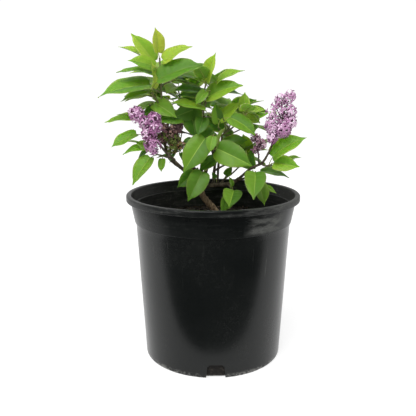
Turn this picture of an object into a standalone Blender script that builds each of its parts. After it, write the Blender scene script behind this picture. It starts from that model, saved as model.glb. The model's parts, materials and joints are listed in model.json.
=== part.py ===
"""A young lilac bush in a round nursery pot, with leaves, open blossom, one faded bloom and one seed head.

Lengths are named in millimetres and turned into metres when a mesh is made.
+X is to the right, +Y to the back and +Z up. The origin is the centre of the pot's flat underside.
Headings are in degrees round +Z from +X, and rises are in degrees above the level.
"""

import math
import random
from collections import namedtuple

import bmesh
import bpy
from mathutils import Matrix, Vector
from mathutils.bvhtree import BVHTree

MM = 0.001
CLEAR = 0.3                      # gap left between two solids that meet

# Pot
RIM_RADIUS = 150.0
RIM_WIDTH = 8.5
POT_HEIGHT = 288.0
LIP_HEIGHT = 10.0
COLLAR_TOP_RADIUS = 142.0
COLLAR_MIDDLE_RADIUS = 139.0
COLLAR_MIDDLE = 257.0
COLLAR_FOOT_RADIUS = 136.0
COLLAR_FOOT = 241.0
BODY_TOP_RADIUS = 134.0
BASE_RADIUS = 120.7
BASE_EDGE = 3.0
WALL = 2.4
FLOOR = 3.0
INNER_STEP_DEPTH = 19.0          # below the rim
POT_STEPS = 36

# Drain notches
NOTCH_COUNT = 4
NOTCH_TURN = -88.0               # heading of the first one
NOTCH_FOOT_WIDTH = 33.0
NOTCH_TOP_WIDTH = 27.0
NOTCH_HEIGHT = 24.0
NOTCH_REACH = 9.0                # how far it cuts into the floor

# Growing mix
SOIL_LEVEL = 240.0
SOIL_DIP = 4.0                   # at the wall
SOIL_RELIEF = 2.0
SOIL_FLAT = 35.0                 # radius round the trunk that stays level
SOIL_EDGE = 8.0                  # width along the wall that stays level

# Limbs and twigs
LIMB_SIDES = 8
SLIM = 3.2                       # a limb whose radius stays under this is slim
SLIM_SIDES = 6
TWIG_SIDES = 3
STRAIGHT_START = 2.0             # a stem's first stretch, in line with its bough
TWIG_LEAD = 0.12                 # how far a twig first carries on along its parent, as a share of its span
TWIG_TAPER = 0.75                # its end's radius, as a share of its foot's

# Leaves that the rule places
PAIR_FIRST = 0.97                # where along the twig the first pair stands
PAIR_SPREAD = 0.55               # the share of the twig that its pairs cover
PAIR_FORWARD = 0.55
PAIR_OUT = 0.85
RULE_LEAVES = 50                 # number of a twig's first such leaf

# Leaves
LEAF_WIDTH = 0.65                # of its length
LEAF_THICKNESS = 1.0
LEAF_THICKNESS_SHARE = 0.014
LOBE_SWEEP = 0.16
OUTLINE_RISE = 0.45              # how roundly the outline swells from the base
OUTLINE_FALL = 1.0               # how straight it runs to the tip
BLADE_ROWS = (0.05, 0.22, 0.48, 0.75)    # where an aimed leaf's blade is shaped, as shares of its length
FEW_ROWS = (0.07, 0.32, 0.66)    # the same for a leaf that the rule places
OPEN_ROW = 3                     # the ring where the open part of a blade starts
FOLD = (8, 20)                   # degrees that each half rises from the midrib, at least and at most
ARCH = (12, 38)
TWIST = (-14, 14)
STALK_RADIUS = 0.6
STALK_SHARE = 0.2
STALK_LEAST = 3.0
STALK_LIFT = 35.0                # degrees that the stalk stands steeper than the blade
STALK_RISE = (-40, 75)           # its least and its most rise
TURN_STEP = 6                    # a leaf that would touch something turns in steps of this many degrees
MOST_TURN = 18
LEAF_SPACE = 0.8                 # clear distance kept between blades

# Blossom
FLORET_OUT = 1.0                 # how far a lobe's florets reach, as a share of its radius
FLORET_IN = 0.74                 # how far it lies back between them
PANICLE_STEM = (1.4, 0.9)        # radius at the foot and at the top
PANICLE_BRANCH = (1.0, 0.9)
BRANCH_BACK = 0.2                # how far below its lobe a branch leaves the stem, as a share of the stem

Limb = namedtuple("Limb", "name cut_from radii points")
Twig = namedtuple("Twig", "parent share end bow radius leaves pairs size", defaults=((), 0, 45))
Mass = namedtuple("Mass", "name bough seed space reach twigs")
Bloom = namedtuple("Bloom", "name bough seed lobes")

BARK = (0.16, 0.11, 0.07)
LEAF_GREEN = (0.16, 0.30, 0.04)
PETAL = (0.42, 0.20, 0.45)
FADED_PETAL = (0.24, 0.14, 0.10)
POT_BLACK = (0.02, 0.02, 0.022)
GROWING_MIX = (0.03, 0.022, 0.016)

LIMBS = [
    Limb("trunk", (), (9.0, 7.0, 5.6, 5.4, 5.2, 5.0),
         ((10, 0, 230), (9, 0, 243), (3, 0, 257), (-7, 0, 269), (-17, 0, 281), (-25, 0, 300))),
    Limb("bough_crown", ("trunk",), (3.6, 2.0),
         ((-25, 0, 298), (-52, 5, 328), (-77, 8, 349), (-85, 8, 387), (-86, 0, 430))),
    Limb("bough_right", ("trunk",), (4.0, 2.8),
         ((-22, 0, 293), (-5, -2, 301), (26, -8, 304), (38, -10, 310), (48, -12, 317))),
    Limb("bough_centre", ("bough_right",), (3.0, 2.0),
         ((-10, -1, 300), (-14, 5, 323), (0, 10, 350), (-9, 12, 381), (-19, 8, 411))),
    Limb("bough_left_bloom", ("bough_crown",), (2.2, 1.6),
         ((-36, 2, 311), (-54, -12, 334), (-76, -22, 357), (-87, -28, 372), (-92, -30, 380))),
    Limb("bough_left_low", ("bough_left_bloom",), (1.6, 1.4),
         ((-72, -20, 353), (-77, -25, 353), (-82, -28, 355))),
    Limb("bough_faded", ("bough_centre",), (1.4, 1.1),
         ((-7, 12, 376), (-22, 5, 382), (-36, 0, 388), (-50, -4, 393))),
    Limb("bough_seed", ("bough_centre",), (1.4, 1.0),
         ((-7, 7, 335), (-18, -4, 345), (-27, -9, 343), (-31, -10, 337))),
    Limb("bough_right_inner", ("bough_right",), (2.2, 1.7),
         ((8, -5, 304), (8, -3, 312), (10, 4, 343), (14, 6, 372), (15, 6, 384))),
    Limb("bough_right_low", ("bough_right",), (2.0, 1.6),
         ((12, -6, 304), (22, 5, 313), (30, 12, 317))),
    Limb("bough_right_bloom", ("bough_right",), (2.4, 1.7),
         ((45, -12, 315), (65, -15, 333), (81, -18, 341), (89, -20, 352), (96, -20, 366))),
    Limb("bough_right_small", ("bough_right_bloom",), (1.5, 1.2),
         ((78, -18, 340), (76, -24, 346), (76, -26, 352))),
    Limb("bough_right_leaf", ("bough_right_bloom",), (1.6, 1.4),
         ((80, -18, 341), (87, -21, 338), (92, -21, 338))),
    Limb("bough_front_right", ("bough_right",), (1.9, 1.5),
         ((42, -11, 312), (52, -20, 316), (60, -24, 321))),
    Limb("bough_front", ("bough_right",), (1.8, 1.4),
         ((25, -8, 304), (28, -20, 303), (32, -30, 299))),
    Limb("bough_front_left", ("trunk", "bough_right"), (2.2, 1.6),
         ((-21, 0, 290), (-18, -10, 306), (-14, -18, 320))),
    Limb("bough_middle", ("bough_centre",), (1.8, 1.5),
         ((-1, 10, 348), (2, 2, 352), (3, -4, 355))),
    Limb("bough_back_left", ("trunk", "bough_right"), (3.0, 2.0),
         ((-22, 0, 292), (-20, 25, 325), (-23, 52, 375), (-42, 66, 410))),
    Limb("bough_back_right", ("bough_right",), (2.8, 1.9),
         ((0, -3, 302), (2, 22, 320), (8, 48, 350), (22, 66, 374))),
    Limb("bough_back_low", ("bough_back_right",), (2.0, 1.5),
         ((2, 24, 322), (14, 44, 326), (30, 60, 332))),
]

# Each twig: parent (None for the stem, which carries on from the bough's tip), where it leaves that parent,
# its end, how far it bows, its radius, and its leaves as (share along it, heading, rise, length, roll).
MASSES = [
    Mass("leaves_crown", "bough_crown", 11, (-100, 5, 490), (105, 75, 80), (
        Twig(None, 0.0, (-89, 3, 515), 3, 1.8, (
            (0.73, -161, 11, 47, 60), (0.60, -173, 1, 61, 22), (0.97, 170, 84, 41, 44),
            (0.78, -12, 26, 54, -34), (0.45, -169, -13, 88, 30))),
        Twig(0, 0.20, (-103, -9, 459), 3, 1.3, (
            (0.80, -121, 82, 44, 80), (0.78, -164, -17, 46, 22))),
        Twig(0, 0.25, (-100, 16, 450), 3, 1.2, ((0.80, 178, 5, 54, 20),), 1, 42),
        Twig(0, 0.70, (-104, 27, 500), 3, 1.3, (
            (0.60, 172, 50, 58, 37), (0.95, 175, 24, 56, 8))),
        Twig(0, 0.40, (-101, -14, 466), 2, 1.3, ((0.95, -8, 24, 76, -42),)),
        Twig(0, 0.50, (-70, 40, 478), 4, 1.3, (), 2, 58),
        Twig(0, 0.14, (-66, 22, 440), 3, 1.2, ((0.50, -165, -28, 42, 25), (0.95, -25, -38, 40, -20)), 1, 42),
    )),
    Mass("leaves_centre", "bough_centre", 12, (-20, 5, 455), (95, 70, 66), (
        Twig(None, 0.0, (-12, 4, 473), 4, 1.7, (
            (0.88, -38, 66, 50, -65), (0.97, -168, 11, 48, 30), (0.50, -15, 18, 64, -45)), 1, 44),
        Twig(0, 0.14, (8, 4, 470), -3, 1.3, (
            (0.97, 161, 32, 26, 40), (0.78, -6, 24, 50, -27), (0.50, 11, -4, 50, -17),
            (0.52, -168, 8, 49, 33), (0.44, 161, -2, 46, 27), (0.20, -166, -19, 49, 84))),
        Twig(0, 0.25, (-3, -18, 419), 3, 1.1, ((0.95, -175, 12, 60, 13), (0.40, -110, -45, 38, 20))),
        Twig(0, 0.22, (-41, 3, 410), 3, 1.2, ((0.96, -163, 15, 55, 42),), 1, 38),
        Twig(0, 0.60, (-8, 30, 468), 4, 1.3, (), 2, 54),
        Twig(0, 0.10, (-28, 30, 414), 3, 1.2, ((0.80, 60, -45, 34, 60), (0.50, 5, -45, 46, -60)), 1, 50),
    )),
    Mass("leaves_right_inner", "bough_right_inner", 13, (40, 0, 415), (75, 60, 52), (
        Twig(None, 0.0, (54, 2, 420), 8, 1.6, (
            (0.95, 79, 72, 34, -6), (0.97, 9, 7, 33, -27), (0.90, 12, -21, 26, -62)), 1, 40),
        Twig(0, 0.25, (16, -14, 418), 2, 1.1, ((0.95, -27, -31, 53, -30),)),
        Twig(0, 0.20, (8, -3, 401), 2, 1.1, ((0.80, 133, 78, 34, 45), (0.96, 14, 42, 46, -35),
                                             (0.55, -171, -35, 44, 62))),
        Twig(0, 0.55, (44, 28, 424), 4, 1.2, (), 2, 46),
        Twig(0, 0.12, (28, 26, 398), 3, 1.2, ((0.80, 95, -30, 40, -50), (0.60, 175, -42, 46, 50)), 1, 44),
    )),
    Mass("leaves_middle", "bough_middle", 14, (5, -15, 370), (85, 60, 55), (
        Twig(None, 0.0, (0, -22, 391), 3, 1.6, (
            (0.97, -151, -53, 68, 46), (0.15, 105, 43, 36, 18), (0.60, -178, -46, 44, 20))),
        Twig(0, 0.30, (-9, -24, 364), 1, 1.1, ((0.90, -20, -23, 66, -68),)),
        Twig(0, 0.22, (8, 14, 358), 0, 1.1, ((0.95, -7, 14, 46, -40),), 1, 40),
    )),
    Mass("leaves_right", "bough_right_leaf", 15, (115, -12, 350), (55, 50, 45), (
        Twig(None, 0.0, (100, -12, 341), 2, 1.4, ((0.10, 0, 30, 65, -35), (0.06, -26, 0, 45, -70))),
        Twig(0, 0.50, (116, 2, 334), 2, 1.1, ((0.97, 0, 17, 22, -30),), 1, 30),
    )),
    Mass("leaves_front_right", "bough_front_right", 16, (80, -35, 312), (60, 60, 45), (
        Twig(None, 0.0, (71, -32, 330), 2, 1.4, ((0.97, -97, -36, 60, 10), (0.50, -62, -58, 49, 10))),
        Twig(0, 0.15, (70, -5, 321), 2, 1.1, ((0.80, -6, -6, 50, -12), (0.95, 116, 72, 36, 78))),
        Twig(0, 0.50, (80, -29, 303), 2, 1.0, ((0.97, 0, -32, 23, -25),)),
    )),
    Mass("leaves_front", "bough_front", 17, (25, -55, 290), (45, 50, 35), (
        Twig(None, 0.0, (36, -40, 297), 1, 1.3, (
            (0.97, -101, -20, 52, 8), (0.80, -130, -45, 38, 60), (0.20, -137, 66, 19, 85))),
    )),
    Mass("leaves_front_left", "bough_front_left", 18, (-35, -35, 315), (45, 50, 45), (
        Twig(None, 0.0, (-9, -26, 333), 1, 1.4, ((0.97, -133, -52, 56, 45),)),
        Twig(0, 0.30, (-23, -21, 328), 2, 1.1, ((0.95, -160, -39, 38, 70),)),
    )),
    Mass("leaves_left_low", "bough_left_low", 19, (-125, -15, 375), (65, 55, 65), (
        Twig(None, 0.0, (-105, -20, 366), 3, 1.4, (
            (0.10, -100, -66, 23, -5), (0.45, -152, -53, 55, 25), (0.85, -173, -14, 40, 20),
            (0.97, 180, -53, 24, 30), (0.60, 178, 10, 30, 60)), 1, 38),
        Twig(0, 0.92, (-122, -1, 411), 4, 1.2, ((0.50, -167, -26, 48, 25), (0.96, 174, -8, 52, 23)), 1, 40),
    )),
    Mass("leaves_right_low", "bough_right_low", 20, (45, 25, 355), (60, 50, 55), (
        Twig(None, 0.0, (58, 26, 356), 5, 1.5, (), 3, 44),
        Twig(0, 0.45, (66, 44, 344), 3, 1.2, (), 2, 46),
    )),
    Mass("leaves_back_left", "bough_back_left", 21, (-75, 78, 450), (85, 60, 70), (
        Twig(None, 0.0, (-62, 72, 462), 6, 1.7, (), 3, 60),
        Twig(0, 0.25, (-98, 62, 440), 4, 1.3, (), 3, 56),
        Twig(0, 0.45, (-36, 92, 456), 4, 1.3, (), 3, 58),
        Twig(0, 0.70, (-92, 84, 484), 4, 1.2, (), 2, 54),
    )),
    Mass("leaves_back_right", "bough_back_right", 22, (40, 78, 410), (80, 60, 60), (
        Twig(None, 0.0, (34, 74, 426), 6, 1.6, (), 3, 58),
        Twig(0, 0.25, (72, 62, 402), 4, 1.3, (), 3, 54),
        Twig(0, 0.50, (4, 94, 420), 4, 1.3, (), 3, 56),
    )),
    Mass("leaves_back_low", "bough_back_low", 24, (55, 75, 345), (80, 55, 45), (
        Twig(None, 0.0, (56, 78, 352), 4, 1.4, (), 3, 52),
        Twig(0, 0.30, (20, 86, 348), 4, 1.2, (), 3, 52),
    )),
]

# Each lobe: its centre and its radius.
BLOOMS = [
    Bloom("bloom_left", "bough_left_bloom", 31, (
        ((-99, -47, 374), 14), ((-104, -40, 393), 14), ((-93, -38, 404), 11), ((-97, -34, 416), 13),
        ((-112, -33, 411), 12), ((-126, -30, 424), 14))),
    Bloom("bloom_right", "bough_right_bloom", 32, (
        ((99, -24, 385), 10), ((97, -20, 403), 13), ((115, -22, 398), 15), ((128, -18, 410), 12),
        ((108, -16, 419), 14), ((125, -14, 428), 14), ((112, -12, 446), 12), ((127, -12, 452), 11),
        ((95, -18, 425), 9), ((102, -14, 438), 8))),
    Bloom("bloom_right_small", "bough_right_small", 33, (
        ((70, -27, 385), 9), ((80, -30, 375), 10), ((72, -28, 366), 8))),
    Bloom("bloom_faded", "bough_faded", 34, (
        ((-60, -8, 402), 11), ((-74, -12, 397), 12), ((-84, -15, 384), 11), ((-66, -11, 381), 12),
        ((-69, -12, 367), 10), ((-57, -12, 371), 8))),
    Bloom("seed_head", "bough_seed", 35, (((-33, -11, 329), 8),)),
]


def clear_scene():
    for obj in list(bpy.data.objects):
        bpy.data.objects.remove(obj, do_unlink=True)


def material(name, colour, roughness, metallic=0.0):
    made = bpy.data.materials.new(name)
    made.use_nodes = True
    shader = made.node_tree.nodes["Principled BSDF"]
    shader.inputs["Base Color"].default_value = (*colour, 1.0)
    shader.inputs["Roughness"].default_value = roughness
    shader.inputs["Metallic"].default_value = metallic
    return made


def add_object(name, mesh, collection, finish=None):
    obj = bpy.data.objects.new(name, mesh)
    collection.objects.link(obj)
    if finish:
        mesh.materials.clear()
        mesh.materials.append(finish)
    return obj


def evaluated_mesh(obj):
    graph = bpy.context.evaluated_depsgraph_get()
    return bpy.data.meshes.new_from_object(obj.evaluated_get(graph))


def bake(obj):
    """Applies the object's modifiers to its mesh."""
    bpy.context.view_layer.update()
    mesh = evaluated_mesh(obj)
    obj.modifiers.clear()
    obj.data = mesh


def smooth(mesh, angle=40.0):
    mesh.shade_smooth()
    mesh.set_sharp_from_angle(angle=math.radians(angle))


def heading_vector(heading, rise):
    turn, climb = math.radians(heading), math.radians(rise)
    return Vector((math.cos(turn) * math.cos(climb), math.sin(turn) * math.cos(climb), math.sin(climb)))


# ---------------------------------------------------------------- pot and growing mix

def pot_profile():
    """Radius and height, from the middle of the floor up the inside and down the outside."""
    lip_foot = POT_HEIGHT - LIP_HEIGHT
    rim_inner = RIM_RADIUS - RIM_WIDTH
    step = POT_HEIGHT - INNER_STEP_DEPTH
    collar_inner = COLLAR_TOP_RADIUS - WALL
    foot_inner = COLLAR_FOOT_RADIUS - WALL
    body_inner = BODY_TOP_RADIUS - WALL
    return (
        (0, FLOOR), (BASE_RADIUS - WALL, FLOOR),
        (body_inner, COLLAR_FOOT - 4), (foot_inner, COLLAR_FOOT + 3),
        (collar_inner - 3.4, step - 1), (collar_inner - 1.2, step),
        (rim_inner - 0.4, POT_HEIGHT),
        (RIM_RADIUS - 1.2, POT_HEIGHT), (RIM_RADIUS, POT_HEIGHT - 1.2), (RIM_RADIUS, lip_foot),
        (COLLAR_TOP_RADIUS + 0.6, lip_foot), (COLLAR_TOP_RADIUS, lip_foot - 4),
        (COLLAR_MIDDLE_RADIUS, COLLAR_MIDDLE), (COLLAR_FOOT_RADIUS, COLLAR_FOOT),
        (BODY_TOP_RADIUS, COLLAR_FOOT), (BASE_RADIUS, BASE_EDGE),
        (BASE_RADIUS - BASE_EDGE, 0), (0, 0),
    )


def turned(name, profile, steps, collection, finish):
    """A solid of revolution: the profile starts and ends on the axis."""
    mesh = bpy.data.meshes.new(name)
    points = [(radius * MM, 0, height * MM) for radius, height in profile]
    mesh.from_pydata(points, [(i, i + 1) for i in range(len(points) - 1)], [])
    obj = add_object(name, mesh, collection, finish)
    screw = obj.modifiers.new("turn", "SCREW")
    screw.steps = screw.render_steps = steps
    screw.use_merge_vertices = True
    screw.merge_threshold = 0.00001
    bake(obj)
    return obj


def notch_cutter(index, cutters):
    """A block with a narrower top, laid across the pot's bottom edge."""
    bm = bmesh.new()
    bmesh.ops.create_cube(bm, size=1.0)
    inner, outer = BASE_RADIUS - NOTCH_REACH, BASE_RADIUS + 10
    for vert in bm.verts:
        top = vert.co.z > 0
        width = NOTCH_TOP_WIDTH if top else NOTCH_FOOT_WIDTH
        vert.co = Vector((
            outer if vert.co.x > 0 else inner,
            math.copysign(width / 2, vert.co.y),
            NOTCH_HEIGHT if top else -5.0)) * MM
    turn = math.radians(NOTCH_TURN + 360 * index / NOTCH_COUNT)
    bmesh.ops.rotate(bm, verts=bm.verts, cent=(0, 0, 0), matrix=Matrix.Rotation(turn, 3, "Z"))
    mesh = bpy.data.meshes.new("notch")
    bm.to_mesh(mesh)
    bm.free()
    return add_object(f"notch_cutter_{index}", mesh, cutters)


def make_pot(parts, cutters, finish):
    pot = turned("pot", pot_profile(), POT_STEPS, parts, finish)
    for index in range(NOTCH_COUNT):
        cutter = notch_cutter(index, cutters)
        cut = pot.modifiers.new("notch", "BOOLEAN")
        cut.operation = "DIFFERENCE"
        cut.object = cutter
    bake(pot)
    for cutter in list(cutters.objects):
        bpy.data.objects.remove(cutter, do_unlink=True)
    smooth(pot.data)


def make_soil(parts, finish):
    """The mix fills the pot up to its level, clear of the wall, and dips a little towards the wall."""
    foot = BASE_RADIUS - WALL - 2 - CLEAR
    body_inner = BODY_TOP_RADIUS - WALL - CLEAR
    slope = (body_inner - foot - 2.2) / (COLLAR_FOOT - 4 - FLOOR - 3)
    edge = foot + 2.2 + slope * (SOIL_LEVEL - SOIL_DIP - FLOOR - 3) - CLEAR
    profile = (
        (0, SOIL_LEVEL), (30, SOIL_LEVEL), (70, SOIL_LEVEL), (105, SOIL_LEVEL - 1),
        (edge, SOIL_LEVEL - SOIL_DIP),
        (foot + 2.2 - CLEAR, FLOOR + 3.5), (foot - CLEAR, FLOOR + CLEAR), (0, FLOOR + CLEAR))
    soil = turned("soil", profile, POT_STEPS // 2, parts, finish)
    for vert in soil.data.vertices:
        spread = math.hypot(vert.co.x, vert.co.y) / MM
        if vert.co.z < (SOIL_LEVEL - 2) * MM or not SOIL_FLAT < spread < edge - SOIL_EDGE:
            continue
        turn = math.atan2(vert.co.y, vert.co.x)
        vert.co.z += SOIL_RELIEF * MM * math.sin(3 * turn + spread * 0.09) * math.sin(7 * turn + 1)
    smooth(soil.data)


# ---------------------------------------------------------------- limbs and twigs

def curve_through(points, pieces):
    """A smooth Catmull-Rom run through the points, with this many pieces between two of them."""
    knots = [Vector(p) for p in points]
    if len(knots) == 2:
        return [knots[0].lerp(knots[1], i / pieces) for i in range(pieces + 1)]
    ends = [knots[0] * 2 - knots[1]] + knots + [knots[-1] * 2 - knots[-2]]
    run = []
    for i in range(1, len(ends) - 2):
        a, b, c, d = ends[i - 1:i + 3]
        for step in range(pieces):
            t = step / pieces
            run.append(0.5 * (2 * b + (c - a) * t + (2 * a - 5 * b + 4 * c - d) * t ** 2
                              + (3 * b - a - 3 * c + d) * t ** 3))
    return run + [knots[-1]]


def spread_radii(radii, count):
    """The radii, spread evenly over this many points."""
    spread = []
    for i in range(count):
        place = i / (count - 1) * (len(radii) - 1)
        low = min(int(place), len(radii) - 2)
        spread.append(radii[low] + (radii[low + 1] - radii[low]) * (place - low))
    return spread


def three_sided_profile():
    """The closed outline that gives a twig three sides, 1 mm in radius. The caller removes it."""
    curve = bpy.data.curves.new("three_sided", "CURVE")
    spline = curve.splines.new("POLY")
    spline.points.add(2)
    for k, point in enumerate(spline.points):
        turn = 2 * math.pi * k / 3
        point.co = (math.cos(turn) * MM, math.sin(turn) * MM, 0, 1)
    spline.use_cyclic_u = True
    outline = bpy.data.objects.new("three_sided", curve)
    outline.hide_render = True
    bpy.context.scene.collection.objects.link(outline)
    return outline


def tube_mesh(name, run, radii, sides):
    """A tapering tube with flat ends, from a bevelled curve."""
    curve = bpy.data.curves.new(name, "CURVE")
    curve.dimensions = "3D"
    profile = None
    if sides == 3:
        profile = three_sided_profile()
        curve.bevel_mode = "OBJECT"
        curve.bevel_object = profile
    else:
        curve.bevel_depth = MM
        curve.bevel_resolution = sides // 2 - 2
    curve.use_fill_caps = True
    spline = curve.splines.new("POLY")
    spline.points.add(len(run) - 1)
    for point, place, radius in zip(spline.points, run, radii):
        point.co = (*(place * MM), 1)
        point.radius = radius
    guide = bpy.data.objects.new(name, curve)
    bpy.context.scene.collection.objects.link(guide)
    bpy.context.view_layer.update()
    mesh = evaluated_mesh(guide)
    bpy.data.objects.remove(guide, do_unlink=True)
    bpy.data.curves.remove(curve)
    if profile:
        bpy.data.curves.remove(profile.data)
    bm = bmesh.new()
    bm.from_mesh(mesh)
    bmesh.ops.remove_doubles(bm, verts=bm.verts, dist=0.000001)
    bmesh.ops.recalc_face_normals(bm, faces=bm.faces)
    bm.to_mesh(mesh)
    bm.free()
    return mesh


def cut_with(obj, cutter):
    cut = obj.modifiers.new("clear", "BOOLEAN")
    cut.operation = "DIFFERENCE"
    cut.object = cutter
    bake(obj)


def make_limb(limb, runs, parts, finish):
    """One tapering limb, cut clear of the limb that it leaves."""
    run = curve_through(limb.points, 2)
    radii = spread_radii(limb.radii, len(run))
    runs[limb.name] = (run, radii)
    sides = LIMB_SIDES if max(radii) > SLIM else SLIM_SIDES
    obj = add_object(limb.name, tube_mesh(limb.name, run, radii, sides), parts, finish)
    for name in limb.cut_from:
        parent_run, parent_radii = runs[name]
        wide = [radius + CLEAR for radius in parent_radii]
        past = [*parent_run[:-1], parent_run[-1] + (parent_run[-1] - parent_run[-2]).normalized() * CLEAR]
        cutter = add_object("clear_of_" + name, tube_mesh("cutter", past, wide, LIMB_SIDES), parts)
        cut_with(obj, cutter)
        bpy.data.objects.remove(cutter, do_unlink=True)
    keep_largest(obj.data)
    smooth(obj.data)
    return obj


def flat_cut_trunk(trunk):
    """Cuts the trunk level just above the growing mix."""
    bm = bmesh.new()
    bm.from_mesh(trunk.data)
    everything = list(bm.verts) + list(bm.edges) + list(bm.faces)
    level = (SOIL_LEVEL + CLEAR) * MM
    cut = bmesh.ops.bisect_plane(
        bm, geom=everything, plane_co=(0, 0, level), plane_no=(0, 0, -1), clear_outer=True)
    bmesh.ops.edgeloop_fill(bm, edges=[e for e in cut["geom_cut"] if isinstance(e, bmesh.types.BMEdge)])
    bmesh.ops.recalc_face_normals(bm, faces=bm.faces)
    bm.to_mesh(trunk.data)
    bm.free()


def keep_largest(mesh):
    """Leaves only the largest of the mesh's pieces, which may also touch along an edge."""
    bm = bmesh.new()
    bm.from_mesh(mesh)
    bmesh.ops.triangulate(bm, faces=bm.faces)
    left = set(bm.faces)
    pieces = []
    while left:
        piece, front = set(), [left.pop()]
        while front:
            face = front.pop()
            piece.add(face)
            plain = [edge for edge in face.edges if len(edge.link_faces) == 2]
            near = {other for edge in plain for other in edge.link_faces} & left
            left -= near
            front.extend(near)
        pieces.append(piece)
    largest = max(pieces, key=lambda piece: sum(face.calc_area() for face in piece))
    loose = [face for piece in pieces if piece is not largest for face in piece]
    bmesh.ops.delete(bm, geom=loose, context="FACES")
    bm.to_mesh(mesh)
    bm.free()


def point_along(run, share):
    """The point at this share of the run's points, and the run's direction there."""
    place = min(share, 0.999) * (len(run) - 1)
    low = int(place)
    step = run[low + 1] - run[low]
    return run[low] + step * (place - low), step.normalized()


def twig_run(start, direction, end, bow, straight=0.0):
    """A twig that comes up to its end. A stem first runs straight on from its bough."""
    end = Vector(end)
    foot = start + direction * straight
    span = (end - foot).length
    middle = foot.lerp(end, 0.5) + direction * span * TWIG_LEAD + Vector((0, 0, -bow))
    run = curve_through((foot, middle, end), 2)
    return [start, *run] if straight else run


# ---------------------------------------------------------------- leaves

class Leaf:
    """A heart-shaped blade on a stalk."""

    def __init__(self, root, heading, rise, length, roll, seed, rows=BLADE_ROWS):
        vary = random.Random(seed)
        self.rows = rows
        self.length = length
        self.width = LEAF_WIDTH * length * vary.uniform(0.94, 1.06)
        self.fold = math.radians(vary.uniform(*FOLD))
        self.arch = math.radians(vary.uniform(*ARCH))
        self.twist = math.radians(vary.uniform(*TWIST))
        self.wave = vary.uniform(0, 2 * math.pi)
        self.along = heading_vector(heading, rise)
        upright = Vector((0, 0, 1)) - self.along * self.along.z
        if upright.length < 0.05:
            upright = -heading_vector(heading, 0)
        upright.normalize()
        self.normal = Matrix.Rotation(math.radians(-roll), 3, self.along) @ upright
        self.side = self.along.cross(self.normal)
        stalk = STALK_SHARE * length + STALK_LEAST
        least, most = STALK_RISE
        lift = heading_vector(heading, max(least, min(most, rise + STALK_LIFT)))
        self.root = root
        self.base = root + lift * stalk

    def outline(self, share):
        """Half the blade's width at this share of its length, as a share of the widest."""
        peak = OUTLINE_RISE / (OUTLINE_RISE + OUTLINE_FALL)
        widest = peak ** OUTLINE_RISE * (1 - peak) ** OUTLINE_FALL
        return share ** OUTLINE_RISE * (1 - share) ** OUTLINE_FALL / widest

    def point(self, share, across, lift=0.0):
        """A point of the blade: share runs from base to tip, across from -1 to 1."""
        half = self.outline(share)
        back = LOBE_SWEEP * half * abs(across) * (1 - share) ** 6
        along = share - back
        out = across * half * self.width / 2
        height = abs(out) * math.sin(self.fold) + lift
        height += 0.02 * self.length * across ** 2 * math.sin(9 * share + self.wave + across)
        out *= math.cos(self.fold)
        turn = self.twist * share
        out, height = (out * math.cos(turn) - height * math.sin(turn),
                       out * math.sin(turn) + height * math.cos(turn))
        lean = self.arch / 2 - self.arch * along
        arc = self.length / (2 * math.sin(self.arch / 2))
        forward = arc * (math.sin(self.arch / 2) - math.sin(lean)) - height * math.sin(lean)
        upward = arc * (math.cos(lean) - math.cos(self.arch / 2)) + height * math.cos(lean)
        return self.base + self.along * forward + self.side * out + self.normal * upward

    def rings(self, extra=0.0):
        """Rings of three points round the stalk and four round the blade, then the tip."""
        thick = max(LEAF_THICKNESS, LEAF_THICKNESS_SHARE * self.length) / 2 + extra
        radius = STALK_RADIUS + extra
        made = []
        for place in (self.root, self.base):
            made.append([place + (self.normal * 0.5 - self.side * 0.87) * radius,
                         place + (self.normal * 0.5 + self.side * 0.87) * radius,
                         place - self.normal * radius])
        for share in self.rows:
            thin = thick * (1 - 0.4 * share)
            made.append([self.point(share, -1) - self.side * extra, self.point(share, 0, thin),
                         self.point(share, 1) + self.side * extra, self.point(share, 0, -thin)])
        return made, self.point(1.0, 0) + self.along * extra


def zip_rings(outer, inner):
    """Triangles between two closed rings of vertex numbers, which may have unlike counts."""
    faces = []
    i = j = 0
    while i < len(outer) or j < len(inner):
        a, b = outer[i % len(outer)], inner[j % len(inner)]
        if i < len(outer) and (i + 1) / len(outer) <= (j + 1) / len(inner):
            faces.append((a, b, outer[(i + 1) % len(outer)]))
            i += 1
        else:
            faces.append((a, b, inner[(j + 1) % len(inner)]))
            j += 1
    return faces


def blade_faces(near, far):
    """Triangles between two blade rings of (left, top, right, bottom), split alike above and below."""
    left, top, right, bottom = near
    far_left, far_top, far_right, far_bottom = far
    return [
        (far_left, left, top), (far_left, top, far_top),
        (far_top, top, far_right), (far_right, top, right),
        (far_right, right, bottom), (far_right, bottom, far_bottom),
        (far_bottom, bottom, far_left), (far_left, bottom, left)]


def ring_solid(rings, tip):
    """Vertices and faces of a closed solid with a flat start, flat sides on its stalk and a pointed end."""
    verts, numbered = [], []
    for ring in rings:
        numbered.append(tuple(range(len(verts), len(verts) + len(ring))))
        verts.extend(ring)
    faces = [tuple(reversed(numbered[0]))]
    for near, far in zip(numbered, numbered[1:]):
        if len(near) == len(far) == 3:
            faces.extend((far[k], near[k], near[(k + 1) % 3], far[(k + 1) % 3]) for k in range(3))
        elif len(near) == len(far) == 4:
            faces.extend(blade_faces(near, far))
        else:
            faces.extend(zip_rings(far, near))
    last = numbered[-1]
    faces.extend((last[k], last[(k + 1) % len(last)], len(verts)) for k in range(len(last)))
    return verts + [tip], faces


def mesh_of(name, verts, faces):
    """A closed mesh in metres with its faces turned out."""
    mesh = bpy.data.meshes.new(name)
    mesh.from_pydata([point * MM for point in verts], [], faces)
    bm = bmesh.new()
    bm.from_mesh(mesh)
    if bm.calc_volume(signed=True) < 0:
        bmesh.ops.reverse_faces(bm, faces=bm.faces)
    bm.to_mesh(mesh)
    bm.free()
    return mesh


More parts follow.
